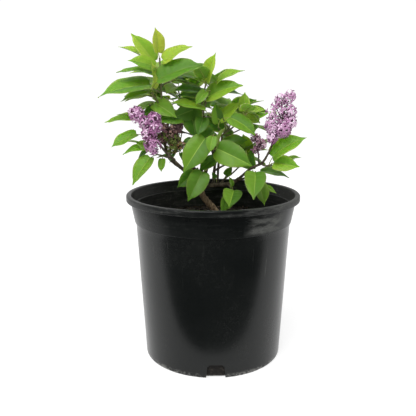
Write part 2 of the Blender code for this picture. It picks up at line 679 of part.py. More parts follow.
class Shape:
    """Something that is already in its place, for testing what comes near it."""

    def __init__(self, owner, kind, verts, faces):
        self.owner = owner
        self.kind = kind
        self.middle = sum(verts, Vector()) / len(verts)
        self.radius = max((point - self.middle).length for point in verts)
        self.tree = BVHTree.FromPolygons(verts, faces)

    def touches(self, other):
        if (self.middle - other.middle).length > self.radius + other.radius:
            return False
        return bool(self.tree.overlap(other.tree))


def tube_shape(owner, kind, run, radii, sides):
    """The tube round the run, as a Shape."""
    mesh = tube_mesh("shape", run, radii, sides)
    verts = [vert.co / MM for vert in mesh.vertices]
    faces = [tuple(face.vertices) for face in mesh.polygons]
    bpy.data.meshes.remove(mesh)
    return Shape(owner, kind, verts, faces)


def leaf_shapes(leaf, mass, extra=0.0):
    """The whole leaf, which other solids keep clear of, and the open part of its blade."""
    rings, tip = leaf.rings(extra)
    return (Shape(mass.name, "leaf", *ring_solid(rings, tip)),
            Shape(mass.name, "blade", *ring_solid(rings[OPEN_ROW:], tip)))


def leaf_is_clear(leaf, mass, placed):
    """Whether the leaf is in its space, clear of all else, and crosses no blade or twig of its own mass."""
    centre, reach = Vector(mass.space), mass.reach
    off = leaf.point(0.5, 0) - centre
    if sum((off[k] / reach[k]) ** 2 for k in range(3)) > 1.0:
        return False
    whole, blade = leaf_shapes(leaf, mass, LEAF_SPACE)
    for other in placed:
        if other.owner != mass.name:
            if other.kind != "blade" and whole.touches(other):
                return False
        elif other.kind != "leaf" and blade.touches(other):
            return False
    return True


def turns():
    """Small turns and tilts, the smallest first."""
    steps = range(-MOST_TURN, MOST_TURN + 1, TURN_STEP)
    pairs = ((turn, tilt) for turn in steps for tilt in steps)
    return sorted(pairs, key=lambda pair: abs(pair[0]) + abs(pair[1]))


def place_leaf(root, aim, mass, seed, rows, placed):
    """Tries the leaf at its aim, then turned a little, and keeps the first that is clear."""
    heading, rise, length, roll = aim
    for turn, tilt in turns():
        leaf = Leaf(root, heading + turn, rise + tilt, length, roll, seed, rows)
        if leaf_is_clear(leaf, mass, placed):
            placed.extend(leaf_shapes(leaf, mass))
            return leaf
    return None


def rule_aims(twig, run, vary):
    """Leaves in crosswise pairs along a twig: (share, (heading, rise, length, roll))."""
    aims = []
    for node in range(twig.pairs):
        share = PAIR_FIRST - PAIR_SPREAD * node / twig.pairs
        _, direction = point_along(run, share)
        level = direction.cross(Vector((0, 0, 1)))
        level = level.normalized() if level.length > 0.1 else Vector((1, 0, 0))
        over = level.cross(direction)
        turn = math.radians(90 * (node % 2) + vary.uniform(-25, 25) + 20)
        for sign in (1, -1):
            out = (level * math.cos(turn) + over * math.sin(turn)) * sign
            aim = direction * PAIR_FORWARD + out * PAIR_OUT
            heading = math.degrees(math.atan2(aim.y, aim.x))
            rise = math.degrees(math.asin(aim.normalized().z)) * 0.6 - 4 + vary.uniform(-10, 10)
            length = twig.size * vary.uniform(0.85, 1.12)
            aims.append((share, (heading, rise, length, vary.uniform(-28, 28))))
    return aims


# ---------------------------------------------------------------- masses

def grow_twigs(mass, runs, placed):
    """Runs and radii of the mass's twigs. The stem starts just past its bough's tip."""
    bough_run, _ = runs[mass.bough]
    direction = (bough_run[-1] - bough_run[-2]).normalized()
    grown = []
    for twig in mass.twigs:
        if twig.parent is None:
            start = bough_run[-1] + direction * CLEAR
            leaving = direction
        else:
            start, leaving = point_along(grown[twig.parent][0], twig.share)
        straight = STRAIGHT_START if twig.parent is None else 0
        run = twig_run(start, leaving, twig.end, twig.bow, straight)
        radii = spread_radii((twig.radius, twig.radius * TWIG_TAPER), len(run))
        grown.append((run, radii))
        placed.append(tube_shape(mass.name, "twig", run, radii, TWIG_SIDES))
    return grown


def grow_aimed(mass, grown, placed):
    leaves = []
    for number, (twig, (run, _)) in enumerate(zip(mass.twigs, grown)):
        for index, (share, *aim) in enumerate(twig.leaves):
            root, _ = point_along(run, share)
            seed = mass.seed * 1000 + number * 100 + index
            leaf = place_leaf(root, aim, mass, seed, BLADE_ROWS, placed)
            if leaf:
                leaves.append(leaf)
    return leaves


def grow_by_rule(mass, grown, placed):
    vary = random.Random(mass.seed)
    leaves = []
    for number, (twig, (run, _)) in enumerate(zip(mass.twigs, grown)):
        for index, (share, aim) in enumerate(rule_aims(twig, run, vary)):
            root, _ = point_along(run, share)
            seed = mass.seed * 1000 + number * 100 + RULE_LEAVES + index
            leaf = place_leaf(root, aim, mass, seed, FEW_ROWS, placed)
            if leaf:
                leaves.append(leaf)
    return leaves


def closed_and_whole(mesh):
    bm = bmesh.new()
    bm.from_mesh(mesh)
    good = bool(bm.faces) and all(len(edge.link_faces) == 2 for edge in bm.edges)
    bm.free()
    return good


def fuse(name, meshes, parts, finish):
    """Joins closed meshes into one solid with a Boolean union on a collection."""
    others = bpy.data.collections.new(name + "_pieces")
    bpy.context.scene.collection.children.link(others)
    for index, mesh in enumerate(meshes[1:]):
        add_object(f"{name}_piece_{index}", mesh, others)
    for solver in ("EXACT", "MANIFOLD"):
        obj = add_object(name, meshes[0].copy(), parts, finish)
        union = obj.modifiers.new("fuse", "BOOLEAN")
        union.operation = "UNION"
        union.operand_type = "COLLECTION"
        union.collection = others
        union.solver = solver
        bake(obj)
        keep_largest(obj.data)
        if closed_and_whole(obj.data):
            break
        if solver == "EXACT":
            bpy.data.objects.remove(obj, do_unlink=True)
    for piece in list(others.objects):
        bpy.data.objects.remove(piece, do_unlink=True)
    bpy.data.collections.remove(others)
    return obj


def make_mass(mass, grown, leaves, parts, finish):
    meshes = [tube_mesh("twig", run, radii, TWIG_SIDES) for run, radii in grown]
    meshes += [mesh_of("leaf", *ring_solid(*leaf.rings())) for leaf in leaves]
    return fuse(mass.name, meshes, parts, finish)


# ---------------------------------------------------------------- blossom

def lobe_solid(centre, radius, seed):
    """A crowded ball of florets: a sphere whose twelve corners stand out and whose other points lie back."""
    bm = bmesh.new()
    bmesh.ops.create_icosphere(bm, subdivisions=2, radius=radius)
    vary = random.Random(seed)
    spin = Matrix.Rotation(vary.uniform(0, 6), 3, "X") @ Matrix.Rotation(vary.uniform(0, 6), 3, "Z")
    verts = []
    for vert in bm.verts:
        out = FLORET_OUT if len(vert.link_edges) == 5 else FLORET_IN
        verts.append(centre + spin @ vert.co * out * vary.uniform(0.94, 1.06))
    faces = [tuple(vert.index for vert in face.verts) for face in bm.faces]
    bm.free()
    return verts, faces


def make_bloom(bloom, runs, placed, parts, finish):
    """A panicle: a stem on from the bough's tip, a twig to each lobe, and the lobes."""
    bough_run, _ = runs[bloom.bough]
    direction = (bough_run[-1] - bough_run[-2]).normalized()
    start = bough_run[-1] + direction * CLEAR
    centres = [Vector(centre) for centre, _ in bloom.lobes]
    top = max(centres, key=lambda centre: (centre - start).length)
    foot = start + direction * STRAIGHT_START
    stem = [start, *curve_through((foot, foot.lerp(top, 0.5) + direction * 3, top), 3)]
    stem_radii = spread_radii(PANICLE_STEM, len(stem))
    meshes = [tube_mesh("stem", stem, stem_radii, TWIG_SIDES)]
    placed.append(tube_shape(bloom.name, "twig", stem, stem_radii, TWIG_SIDES))
    for number, (centre, (_, radius)) in enumerate(zip(centres, bloom.lobes)):
        near = min(range(2, 19), key=lambda k: (point_along(stem, k / 20)[0] - centre).length)
        foot, _ = point_along(stem, max(0.1, near / 20 - BRANCH_BACK))
        if centre is not top:
            meshes.append(tube_mesh("branch", [foot, centre], PANICLE_BRANCH, TWIG_SIDES))
        verts, faces = lobe_solid(centre, radius, bloom.seed * 100 + number)
        placed.append(Shape(bloom.name, "lobe", verts, faces))
        meshes.append(mesh_of("lobe", verts, faces))
    return fuse(bloom.name, meshes, parts, finish)


def main():
    clear_scene()
    scene = bpy.context.scene
    parts = bpy.data.collections.new("potted_lilac")
    cutters = bpy.data.collections.new("cutters")
    scene.collection.children.link(parts)
    scene.collection.children.link(cutters)
    bark = material("bark", BARK, 0.85)
    leaf_green = material("leaf_green", LEAF_GREEN, 0.5)
    petal = material("petal", PETAL, 0.6)
    faded = material("faded_petal", FADED_PETAL, 0.8)

    make_pot(parts, cutters, material("pot_plastic", POT_BLACK, 0.4))
    make_soil(parts, material("growing_mix", GROWING_MIX, 0.95))

    runs, placed = {}, []
    for limb in LIMBS:
        obj = make_limb(limb, runs, parts, bark)
        if limb.name == "trunk":
            flat_cut_trunk(obj)
        run, radii = runs[limb.name]
        placed.append(tube_shape(limb.name, "limb", run, [radius + CLEAR for radius in radii], LIMB_SIDES))

    grown = {mass.name: grow_twigs(mass, runs, placed) for mass in MASSES}
    for bloom in BLOOMS:
        make_bloom(bloom, runs, placed, parts, faded if bloom.name in ("bloom_faded", "seed_head") else petal)
    leaves = {mass.name: grow_aimed(mass, grown[mass.name], placed) for mass in MASSES}
    for mass in MASSES:
        leaves[mass.name] += grow_by_rule(mass, grown[mass.name], placed)
        make_mass(mass, grown[mass.name], leaves[mass.name], parts, leaf_green)


main()
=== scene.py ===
"""Looks of a young lilac bush in a nursery pot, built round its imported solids.

Lengths are in millimetres and become metres when a mesh is made. Only the finishes and the stage are in
metres. Leaves, twigs and blossom grow by the solids' own rules, from the same limbs and seeds, so that each
fine leaf takes the place of its plain one.
"""

import json
import math
import random
from collections import namedtuple

import bmesh
import bpy
from mathutils import Matrix, Vector, noise
from mathutils.bvhtree import BVHTree

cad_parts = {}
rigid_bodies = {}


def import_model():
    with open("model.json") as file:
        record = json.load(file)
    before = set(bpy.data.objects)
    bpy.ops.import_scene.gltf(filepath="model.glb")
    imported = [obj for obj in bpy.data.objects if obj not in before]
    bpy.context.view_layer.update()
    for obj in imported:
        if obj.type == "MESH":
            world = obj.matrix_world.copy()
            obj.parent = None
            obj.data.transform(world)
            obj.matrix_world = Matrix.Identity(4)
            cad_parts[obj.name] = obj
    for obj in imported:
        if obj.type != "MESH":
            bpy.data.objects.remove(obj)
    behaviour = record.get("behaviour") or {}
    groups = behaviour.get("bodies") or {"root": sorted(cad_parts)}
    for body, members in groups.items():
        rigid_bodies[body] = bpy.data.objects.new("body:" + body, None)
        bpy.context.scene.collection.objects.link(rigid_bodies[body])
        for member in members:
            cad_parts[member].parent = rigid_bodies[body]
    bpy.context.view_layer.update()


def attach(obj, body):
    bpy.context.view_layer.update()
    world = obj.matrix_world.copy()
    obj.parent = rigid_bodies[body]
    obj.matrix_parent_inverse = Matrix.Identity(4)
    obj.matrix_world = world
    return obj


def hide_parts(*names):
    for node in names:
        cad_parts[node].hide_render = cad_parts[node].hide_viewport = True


MM = 0.001
CLEAR = 0.3                      # gap left between two solids that meet

# Pot
RIM_RADIUS = 150.0
RIM_WIDTH = 8.5
POT_HEIGHT = 288.0
LIP_HEIGHT = 10.0
COLLAR_TOP_RADIUS = 142.0
COLLAR_MIDDLE_RADIUS = 139.0
COLLAR_MIDDLE = 257.0
COLLAR_FOOT_RADIUS = 136.0
COLLAR_FOOT = 241.0
BODY_TOP_RADIUS = 134.0
BASE_RADIUS = 120.7
BASE_EDGE = 3.0
WALL = 2.4
FLOOR = 3.0
INNER_STEP_DEPTH = 19.0          # below the rim
POT_STEPS = 256

# Drain notches
NOTCH_COUNT = 4
NOTCH_TURN = -88.0               # heading of the first one
NOTCH_FOOT_WIDTH = 33.0
NOTCH_TOP_WIDTH = 27.0
NOTCH_HEIGHT = 24.0
NOTCH_REACH = 9.0                # how far it cuts into the floor
NOTCH_ROUND = 2.5                # of its upper corners
NOTCH_PAST = 10.0                # how far its cutter stands out past the pot, and half of that below it

# Growing mix
SOIL_LEVEL = 240.0
SOIL_DIP = 4.0                   # at the wall
CHIPS = 1900
CHIP_SEED = 61
CHIP_SIZES = (1.5, 2, 2, 3, 3, 4, 6)
CHIP_KINDS = (0, 0, 0, 0, 1, 1, 2)       # dark, brown or pale
CHIP_TILT = 0.35                 # radians off level, as the spread of a bell curve
BLOCK_FACES = ((0, 2, 3, 1), (4, 5, 7, 6), (0, 1, 5, 4), (2, 6, 7, 3), (0, 4, 6, 2), (1, 3, 7, 5))
LUMP_GRAIN = 0.035               # lumps of the surface: how many to a millimetre, and how high
LUMP_HEIGHT = 2.4
BED_RINGS = 44                   # of its surface, from the middle to the wall
BED_STEPS = 128

# Limbs and twigs
LIMB_SIDES = 8
TWIG_SIDES = 3
STRAIGHT_START = 2.0             # a stem's first stretch, in line with its bough
TWIG_LEAD = 0.12                 # how far a twig first carries on along its parent, as a share of its span
TWIG_TAPER = 0.75                # its end's radius, as a share of its foot's

# Leaves that the rule places
PAIR_FIRST = 0.97                # where along the twig the first pair stands
PAIR_SPREAD = 0.55               # the share of the twig that its pairs cover
PAIR_FORWARD = 0.55
PAIR_OUT = 0.85
RULE_LEAVES = 50                 # number of a twig's first such leaf
# blade colours of a rule leaf, drawn by its seed; where the two digits differ, one half is painted a step
# deeper than the other, as shade on the fold
RULE_SHADES = (22, 23, 33, 32, 43, 44, 45)
BARE = (20050, 13352, 22153, 12351)      # seeds of the leaves left out, where the bush is open to the sky

# Spurs
SPUR_BOW = 3.0
SPUR_RADII = (1.1, 0.8)
SPUR_SEED = 51000

# Leaves
LEAF_WIDTH = 0.65                # of its length
LEAF_THICKNESS = 1.0
LEAF_THICKNESS_SHARE = 0.014
LOBE_SWEEP = 0.16
OUTLINE_RISE = 0.45              # how roundly the outline swells from the base
OUTLINE_FALL = 1.0               # how straight it runs to the tip
BLADE_ROWS = (0.05, 0.22, 0.48, 0.75)    # where an aimed leaf's blade is shaped, as shares of its length
FEW_ROWS = (0.07, 0.32, 0.66)    # the same for a leaf that the rule places
OPEN_ROW = 3                     # the ring where the open part of a blade starts
FOLD = (8, 20)                   # degrees that each half rises from the midrib, at least and at most
ARCH = (12, 38)
TWIST = (-14, 14)
MARGIN_RISE = 0.02               # how far a blade's margin waves, as a share of its length
MARGIN_WAVES = 9
STALK_RADIUS = 0.6
STALK_SHARE = 0.2
STALK_LEAST = 3.0
STALK_LIFT = 35.0                # degrees that the stalk stands steeper than the blade
STALK_RISE = (-40, 75)           # its least and its most rise
TURN_STEP = 6                    # a leaf that would touch something turns in steps of this many degrees
MOST_TURN = 18
LEAF_SPACE = 0.8                 # clear distance kept between blades

# Blossom
FLORET_OUT = 1.0                 # how far a lobe's florets reach, as a share of its radius
FLORET_IN = 0.74                 # how far it lies back between them
PANICLE_STEM = (1.4, 0.9)        # radius at the foot and at the top
PANICLE_BRANCH = (1.0, 0.9)
BRANCH_BACK = 0.2                # how far below its lobe a branch leaves the stem, as a share of the stem

Limb = namedtuple("Limb", "name radii points")
Twig = namedtuple("Twig", "parent share end bow radius leaves pairs size", defaults=((), 0, 45))
Mass = namedtuple("Mass", "name bough seed space reach twigs")
Bloom = namedtuple("Bloom", "name bough seed lobes")
Spur = namedtuple("Spur", "limb share end leaf")

# Each limb: its radii, spread from its foot to its tip, and the points that it runs through.
LIMBS = [
    Limb("trunk", (9.0, 7.0, 5.6, 5.4, 5.2, 5.0),
         ((10, 0, 230), (9, 0, 243), (3, 0, 257), (-7, 0, 269), (-17, 0, 281), (-25, 0, 300))),
    Limb("bough_crown", (3.6, 2.0),
         ((-25, 0, 298), (-52, 5, 328), (-77, 8, 349), (-85, 8, 387), (-86, 0, 430))),
    Limb("bough_right", (4.0, 2.8),
         ((-22, 0, 293), (-5, -2, 301), (26, -8, 304), (38, -10, 310), (48, -12, 317))),
    Limb("bough_centre", (3.0, 2.0),
         ((-10, -1, 300), (-14, 5, 323), (0, 10, 350), (-9, 12, 381), (-19, 8, 411))),
    Limb("bough_left_bloom", (2.2, 1.6),
         ((-36, 2, 311), (-54, -12, 334), (-76, -22, 357), (-87, -28, 372), (-92, -30, 380))),
    Limb("bough_left_low", (1.6, 1.4),
         ((-72, -20, 353), (-77, -25, 353), (-82, -28, 355))),
    Limb("bough_faded", (1.4, 1.1),
         ((-7, 12, 376), (-22, 5, 382), (-36, 0, 388), (-50, -4, 393))),
    Limb("bough_seed", (1.4, 1.0),
         ((-7, 7, 335), (-18, -4, 345), (-27, -9, 343), (-31, -10, 337))),
    Limb("bough_right_inner", (2.2, 1.7),
         ((8, -5, 304), (8, -3, 312), (10, 4, 343), (14, 6, 372), (15, 6, 384))),
    Limb("bough_right_low", (2.0, 1.6),
         ((12, -6, 304), (22, 5, 313), (30, 12, 317))),
    Limb("bough_right_bloom", (2.4, 1.7),
         ((45, -12, 315), (65, -15, 333), (81, -18, 341), (89, -20, 352), (96, -20, 366))),
    Limb("bough_right_small", (1.5, 1.2),
         ((78, -18, 340), (76, -24, 346), (76, -26, 352))),
    Limb("bough_right_leaf", (1.6, 1.4),
         ((80, -18, 341), (87, -21, 338), (92, -21, 338))),
    Limb("bough_front_right", (1.9, 1.5),
         ((42, -11, 312), (52, -20, 316), (60, -24, 321))),
    Limb("bough_front", (1.8, 1.4),
         ((25, -8, 304), (28, -20, 303), (32, -30, 299))),
    Limb("bough_front_left", (2.2, 1.6),
         ((-21, 0, 290), (-18, -10, 306), (-14, -18, 320))),
    Limb("bough_middle", (1.8, 1.5),
         ((-1, 10, 348), (2, 2, 352), (3, -4, 355))),
    Limb("bough_back_left", (3.0, 2.0),
         ((-22, 0, 292), (-20, 25, 325), (-23, 52, 375), (-42, 66, 410))),
    Limb("bough_back_right", (2.8, 1.9),
         ((0, -3, 302), (2, 22, 320), (8, 48, 350), (22, 66, 374))),
    Limb("bough_back_low", (2.0, 1.5),
         ((2, 24, 322), (14, 44, 326), (30, 60, 332))),
]

# Each mass: its bough, seed, the middle and reach of the space for its leaves, and its twigs. Each twig: its
# parent (None for the stem, which carries on from the bough's tip), where it leaves that parent, its end, how
# far it bows, its radius, its leaves as (share along it, heading, rise, length, roll, shade), the pairs of
# leaves that the rule adds, and their length. A shade's two digits are the blade colours of its two halves,
# partly the leaf's own tone and partly painted light and shade; where they differ, one half of the folded
# blade is painted a step deeper than the other, as shade.
MASSES = [
    Mass("leaves_crown", "bough_crown", 11, (-100, 5, 490), (105, 75, 80), (
        Twig(None, 0.0, (-89, 3, 515), 3, 1.8, (
            (0.73, -161, 11, 47, 60, 34), (0.60, -173, 1, 61, 22, 23), (0.97, 170, 84, 41, 34, 77),
            (0.78, -12, 26, 54, -46, 55), (0.45, -169, -13, 88, 30, 23))),
        Twig(0, 0.20, (-103, -9, 459), 3, 1.3, (
            (0.80, -121, 82, 44, 80, 66), (0.78, -164, -17, 46, 22, 44))),
        Twig(0, 0.25, (-100, 16, 450), 3, 1.2, ((0.80, 178, 5, 54, 20, 44),), 1, 42),
        Twig(0, 0.70, (-104, 27, 500), 3, 1.3, (
            (0.60, 172, 50, 58, 33, 54), (0.95, 175, 24, 56, 8, 45))),
        Twig(0, 0.40, (-101, -14, 466), 2, 1.3, ((0.95, -8, 24, 76, -42, 22),)),
        Twig(0, 0.50, (-70, 40, 478), 4, 1.3, (), 2, 58),
        Twig(0, 0.14, (-66, 22, 440), 3, 1.2, (
            (0.50, -165, -28, 42, 25, 11), (0.95, -25, -38, 40, -20, 11)), 1, 42),
    )),
    Mass("leaves_centre", "bough_centre", 12, (-20, 5, 455), (95, 70, 66), (
        Twig(None, 0.0, (-12, 4, 473), 4, 1.7, (
            (0.88, -38, 66, 50, -75, 55), (0.97, -168, 11, 48, 30, 33), (0.50, -15, 18, 64, -45, 34)), 1, 44),
        Twig(0, 0.14, (8, 4, 470), -3, 1.3, (
            (0.97, 161, 32, 26, 40, 33), (0.78, -6, 24, 50, -27, 44), (0.50, 11, -4, 50, -17, 11),
            (0.47, -168, 5, 49, 22, 11), (0.44, 161, -2, 46, 27, 22), (0.20, -166, -19, 49, 84, 11))),
        Twig(0, 0.25, (-3, -18, 419), 3, 1.1, ((0.95, -175, 12, 60, 13, 34), (0.40, -110, -45, 38, 20, 11))),
        Twig(0, 0.22, (-41, 3, 410), 3, 1.2, ((0.96, -163, 15, 55, 42, 11),), 1, 38),
        Twig(0, 0.60, (-8, 30, 468), 4, 1.3, (), 2, 54),
        Twig(0, 0.10, (-28, 30, 414), 3, 1.2, (
            (0.80, 60, -45, 34, 60, 0), (0.50, 5, -45, 46, -60, 11)), 1, 50),
    )),
    Mass("leaves_right_inner", "bough_right_inner", 13, (40, 0, 415), (75, 60, 52), (
        Twig(None, 0.0, (54, 2, 420), 8, 1.6, (
            (0.95, 79, 72, 34, -6, 44), (0.97, 9, 7, 33, -27, 44), (0.90, 12, -21, 26, -62, 44)), 1, 40),
        Twig(0, 0.25, (16, -14, 418), 2, 1.1, ((0.95, -27, -31, 53, -30, 23),)),
        Twig(0, 0.20, (8, -3, 401), 2, 1.1, (
            (0.80, 133, 78, 34, 45, 31), (0.96, 14, 42, 46, -35, 44), (0.55, -171, -35, 44, 62, 11))),
        Twig(0, 0.55, (44, 28, 424), 4, 1.2, (), 2, 46),
        Twig(0, 0.12, (28, 26, 398), 3, 1.2, (
            (0.80, 95, -30, 40, -50, 22), (0.60, 175, -42, 46, 50, 11)), 1, 44),
    )),
    Mass("leaves_middle", "bough_middle", 14, (5, -15, 370), (85, 60, 55), (
        Twig(None, 0.0, (0, -22, 391), 3, 1.6, (
            (0.97, -151, -53, 68, 46, 23), (0.15, 105, 43, 36, 18, 33), (0.60, -178, -46, 44, 20, 11))),
        Twig(0, 0.30, (-9, -24, 364), 1, 1.1, ((0.90, -20, -23, 66, -68, 23),)),
        Twig(0, 0.22, (8, 14, 358), 0, 1.1, ((0.95, -7, 14, 46, -40, 22),), 1, 40),
    )),
    Mass("leaves_right", "bough_right_leaf", 15, (115, -12, 350), (55, 50, 45), (
        Twig(None, 0.0, (100, -12, 341), 2, 1.4, ((0.10, 0, 30, 65, -35, 33), (0.06, -26, 0, 45, -70, 34))),
        Twig(0, 0.50, (116, 2, 334), 2, 1.1, ((0.97, 0, 17, 22, -30, 44),), 1, 30),
    )),
    Mass("leaves_front_right", "bough_front_right", 16, (80, -35, 312), (60, 60, 45), (
        Twig(None, 0.0, (71, -32, 330), 2, 1.4, ((0.97, -97, -36, 60, 10, 23), (0.50, -62, -58, 49, 10, 33))),
        Twig(0, 0.15, (70, -5, 321), 2, 1.1, ((0.80, -6, -6, 50, -12, 22), (0.95, 116, 72, 36, 78, 11))),
        Twig(0, 0.50, (80, -29, 303), 2, 1.0, ((0.97, 0, -32, 23, -25, 33),)),
    )),
    Mass("leaves_front", "bough_front", 17, (25, -55, 290), (45, 50, 35), (
        Twig(None, 0.0, (36, -40, 297), 1, 1.3, (
            (0.97, -101, -20, 52, 8, 13), (0.80, -130, -45, 38, 60, 22), (0.20, -137, 66, 19, 85, 33))),
    )),
    Mass("leaves_front_left", "bough_front_left", 18, (-35, -35, 315), (45, 50, 45), (
        Twig(None, 0.0, (-9, -26, 333), 1, 1.4, ((0.97, -133, -52, 56, 45, 22),)),
        Twig(0, 0.30, (-23, -21, 328), 2, 1.1, ((0.95, -160, -39, 38, 70, 11),)),
    )),
    Mass("leaves_left_low", "bough_left_low", 19, (-125, -15, 375), (65, 55, 65), (
        Twig(None, 0.0, (-105, -20, 366), 3, 1.4, (
            (0.10, -100, -66, 23, -5, 33), (0.45, -152, -53, 55, 25, 33), (0.85, -173, -14, 40, 20, 33),
            (0.97, 180, -53, 24, 30, 11), (0.60, 178, 10, 30, 60, 33)), 1, 38),
        Twig(0, 0.92, (-122, -1, 411), 4, 1.2, (
            (0.50, -167, -26, 48, 25, 33), (0.96, 174, -8, 52, 23, 44)), 1, 40),
    )),
    Mass("leaves_right_low", "bough_right_low", 20, (45, 25, 355), (60, 50, 55), (
        Twig(None, 0.0, (58, 26, 356), 5, 1.5, (), 3, 44),
        Twig(0, 0.45, (66, 44, 344), 3, 1.2, (), 2, 46),
    )),
    Mass("leaves_back_left", "bough_back_left", 21, (-75, 78, 450), (85, 60, 70), (
        Twig(None, 0.0, (-62, 72, 462), 6, 1.7, (), 3, 60),
        Twig(0, 0.25, (-98, 62, 440), 4, 1.3, (), 3, 56),
        Twig(0, 0.45, (-36, 92, 456), 4, 1.3, (), 3, 58),
        Twig(0, 0.70, (-92, 84, 484), 4, 1.2, (), 2, 54),
    )),
    Mass("leaves_back_right", "bough_back_right", 22, (40, 78, 410), (80, 60, 60), (
        Twig(None, 0.0, (34, 74, 426), 6, 1.6, (), 3, 58),
        Twig(0, 0.25, (72, 62, 402), 4, 1.3, (), 3, 54),
        Twig(0, 0.50, (4, 94, 420), 4, 1.3, (), 3, 56),
    )),
    Mass("leaves_back_low", "bough_back_low", 24, (55, 75, 345), (80, 55, 45), (
        Twig(None, 0.0, (56, 78, 352), 4, 1.4, (), 3, 52),
        Twig(0, 0.30, (20, 86, 348), 4, 1.2, (), 3, 52),
    )),
]

# Each bloom: its bough, seed, and its lobes as (centre, radius).
BLOOMS = [
    Bloom("bloom_left", "bough_left_bloom", 31, (
        ((-99, -47, 374), 14), ((-104, -40, 393), 14), ((-93, -38, 404), 11), ((-97, -34, 416), 13),
        ((-112, -33, 411), 12), ((-126, -30, 424), 14))),
    Bloom("bloom_right", "bough_right_bloom", 32, (
        ((99, -24, 385), 10), ((97, -20, 403), 13), ((115, -22, 398), 15), ((128, -18, 410), 12),
        ((108, -16, 419), 14), ((125, -14, 428), 14), ((112, -12, 446), 12), ((127, -12, 452), 11),
        ((95, -18, 425), 9), ((102, -14, 438), 8))),
    Bloom("bloom_right_small", "bough_right_small", 33, (
        ((70, -27, 385), 9), ((80, -30, 375), 10), ((72, -28, 366), 8))),
    Bloom("bloom_faded", "bough_faded", 34, (
        ((-60, -8, 402), 11), ((-74, -12, 397), 12), ((-84, -15, 384), 11), ((-66, -11, 381), 12),
        ((-69, -12, 367), 10), ((-57, -12, 371), 8))),
    Bloom("seed_head", "bough_seed", 35, (((-33, -11, 329), 8),)),
]

# Small leaves on spurs, low in the bush and inside the crown, which the solids don't have. Each spur: its
# limb, the share along it, its end, and its leaf as (heading, rise, length, roll, shade).
SPURS = [
    Spur("bough_centre", 0.88, (-40, -7, 408), (-173, 15, 52, 40, 22)),
    Spur("bough_centre", 0.96, (-44, 11, 443), (-55, -74, 55, -35, 10)),
    Spur("bough_faded", 0.30, (-29, -3, 382), (-160, -39, 23, 50, 11)),
    Spur("bough_middle", 0.90, (2, -31, 392), (-112, -60, 29, 15, 33)),
    Spur("bough_right_inner", 0.62, (6, -27, 366), (19, 66, 30, 35, 44)),
    Spur("bough_right_inner", 0.48, (15, -4, 349), (-168, -36, 37, 45, 11)),
    Spur("bough_right_low", 0.50, (20, -7, 313), (-19, 53, 20, -90, 11)),
    Spur("bough_right_inner", 0.12, (6, -6, 309), (-164, 56, 13, 90, 11)),
    Spur("bough_right_low", 0.90, (31, -3, 333), (-8, -20, 29, -25, 22)),
    Spur("bough_centre", 1.0, (-5, -8, 462), (-161, -65, 29, 45, 33)),
    Spur("bough_crown", 0.90, (-109, 6, 439), (-11, -40, 49, -50, 33)),
    Spur("bough_faded", 0.90, (-95, 5, 397), (-10, -50, 46, -45, 11)),
    Spur("bough_left_bloom", 0.45, (-64, -13, 348), (-171, -6, 26, 15, 22)),
    Spur("bough_left_bloom", 0.55, (-57, -8, 361), (-159, -59, 21, 20, 11)),
    Spur("bough_left_bloom", 0.50, (-61, -3, 361), (-30, -65, 18, -10, 11)),
]


def new_object(name, data):
    obj = bpy.data.objects.new(name, data)
    bpy.context.scene.collection.objects.link(obj)
    return obj


def evaluated_mesh(obj):
    graph = bpy.context.evaluated_depsgraph_get()
    return bpy.data.meshes.new_from_object(obj.evaluated_get(graph))


def heading_vector(heading, rise):
    turn, climb = math.radians(heading), math.radians(rise)
    return Vector((math.cos(turn) * math.cos(climb), math.sin(turn) * math.cos(climb), math.sin(climb)))


def curve_through(points, pieces):
    """A smooth Catmull-Rom run through the points, with this many pieces between two of them."""
    knots = [Vector(p) for p in points]
    if len(knots) == 2:
        return [knots[0].lerp(knots[1], i / pieces) for i in range(pieces + 1)]
    ends = [knots[0] * 2 - knots[1]] + knots + [knots[-1] * 2 - knots[-2]]
    run = []
    for i in range(1, len(ends) - 2):
        a, b, c, d = ends[i - 1:i + 3]
        for step in range(pieces):
            t = step / pieces
            run.append(0.5 * (2 * b + (c - a) * t + (2 * a - 5 * b + 4 * c - d) * t ** 2
                              + (3 * b - a - 3 * c + d) * t ** 3))
    return run + [knots[-1]]


def spread_radii(radii, count):
    """The radii, spread evenly over this many points."""
    spread = []
    for i in range(count):
        place = i / (count - 1) * (len(radii) - 1)
        low = min(int(place), len(radii) - 2)
        spread.append(radii[low] + (radii[low + 1] - radii[low]) * (place - low))
    return spread


def three_sided_profile():
    """The closed outline that gives a twig three sides, 1 mm in radius. The caller removes it."""
    curve = bpy.data.curves.new("three_sided", "CURVE")
    spline = curve.splines.new("POLY")
    spline.points.add(2)
    for k, point in enumerate(spline.points):
        turn = 2 * math.pi * k / 3
        point.co = (math.cos(turn) * MM, math.sin(turn) * MM, 0, 1)
    spline.use_cyclic_u = True
    outline = new_object("three_sided", curve)
    outline.hide_render = True
    return outline


def tube_mesh(name, run, radii, sides):
    """A tapering tube with flat ends, from a bevelled curve."""
    curve = bpy.data.curves.new(name, "CURVE")
    curve.dimensions = "3D"
    profile = None
    if sides == 3:
        profile = three_sided_profile()
        curve.bevel_mode = "OBJECT"
        curve.bevel_object = profile
    else:
        curve.bevel_depth = MM
        curve.bevel_resolution = sides // 2 - 2
    curve.use_fill_caps = True
    spline = curve.splines.new("POLY")
    spline.points.add(len(run) - 1)
    for point, place, radius in zip(spline.points, run, radii):
        point.co = (*(place * MM), 1)
        point.radius = radius
    guide = new_object(name, curve)
    bpy.context.view_layer.update()
    mesh = evaluated_mesh(guide)
    bpy.data.objects.remove(guide, do_unlink=True)
    bpy.data.curves.remove(curve)
    if profile:
        bpy.data.curves.remove(profile.data)
    bm = bmesh.new()
    bm.from_mesh(mesh)
    bmesh.ops.remove_doubles(bm, verts=bm.verts, dist=0.000001)
    bmesh.ops.recalc_face_normals(bm, faces=bm.faces)
    bm.to_mesh(mesh)
    bm.free()
    return mesh


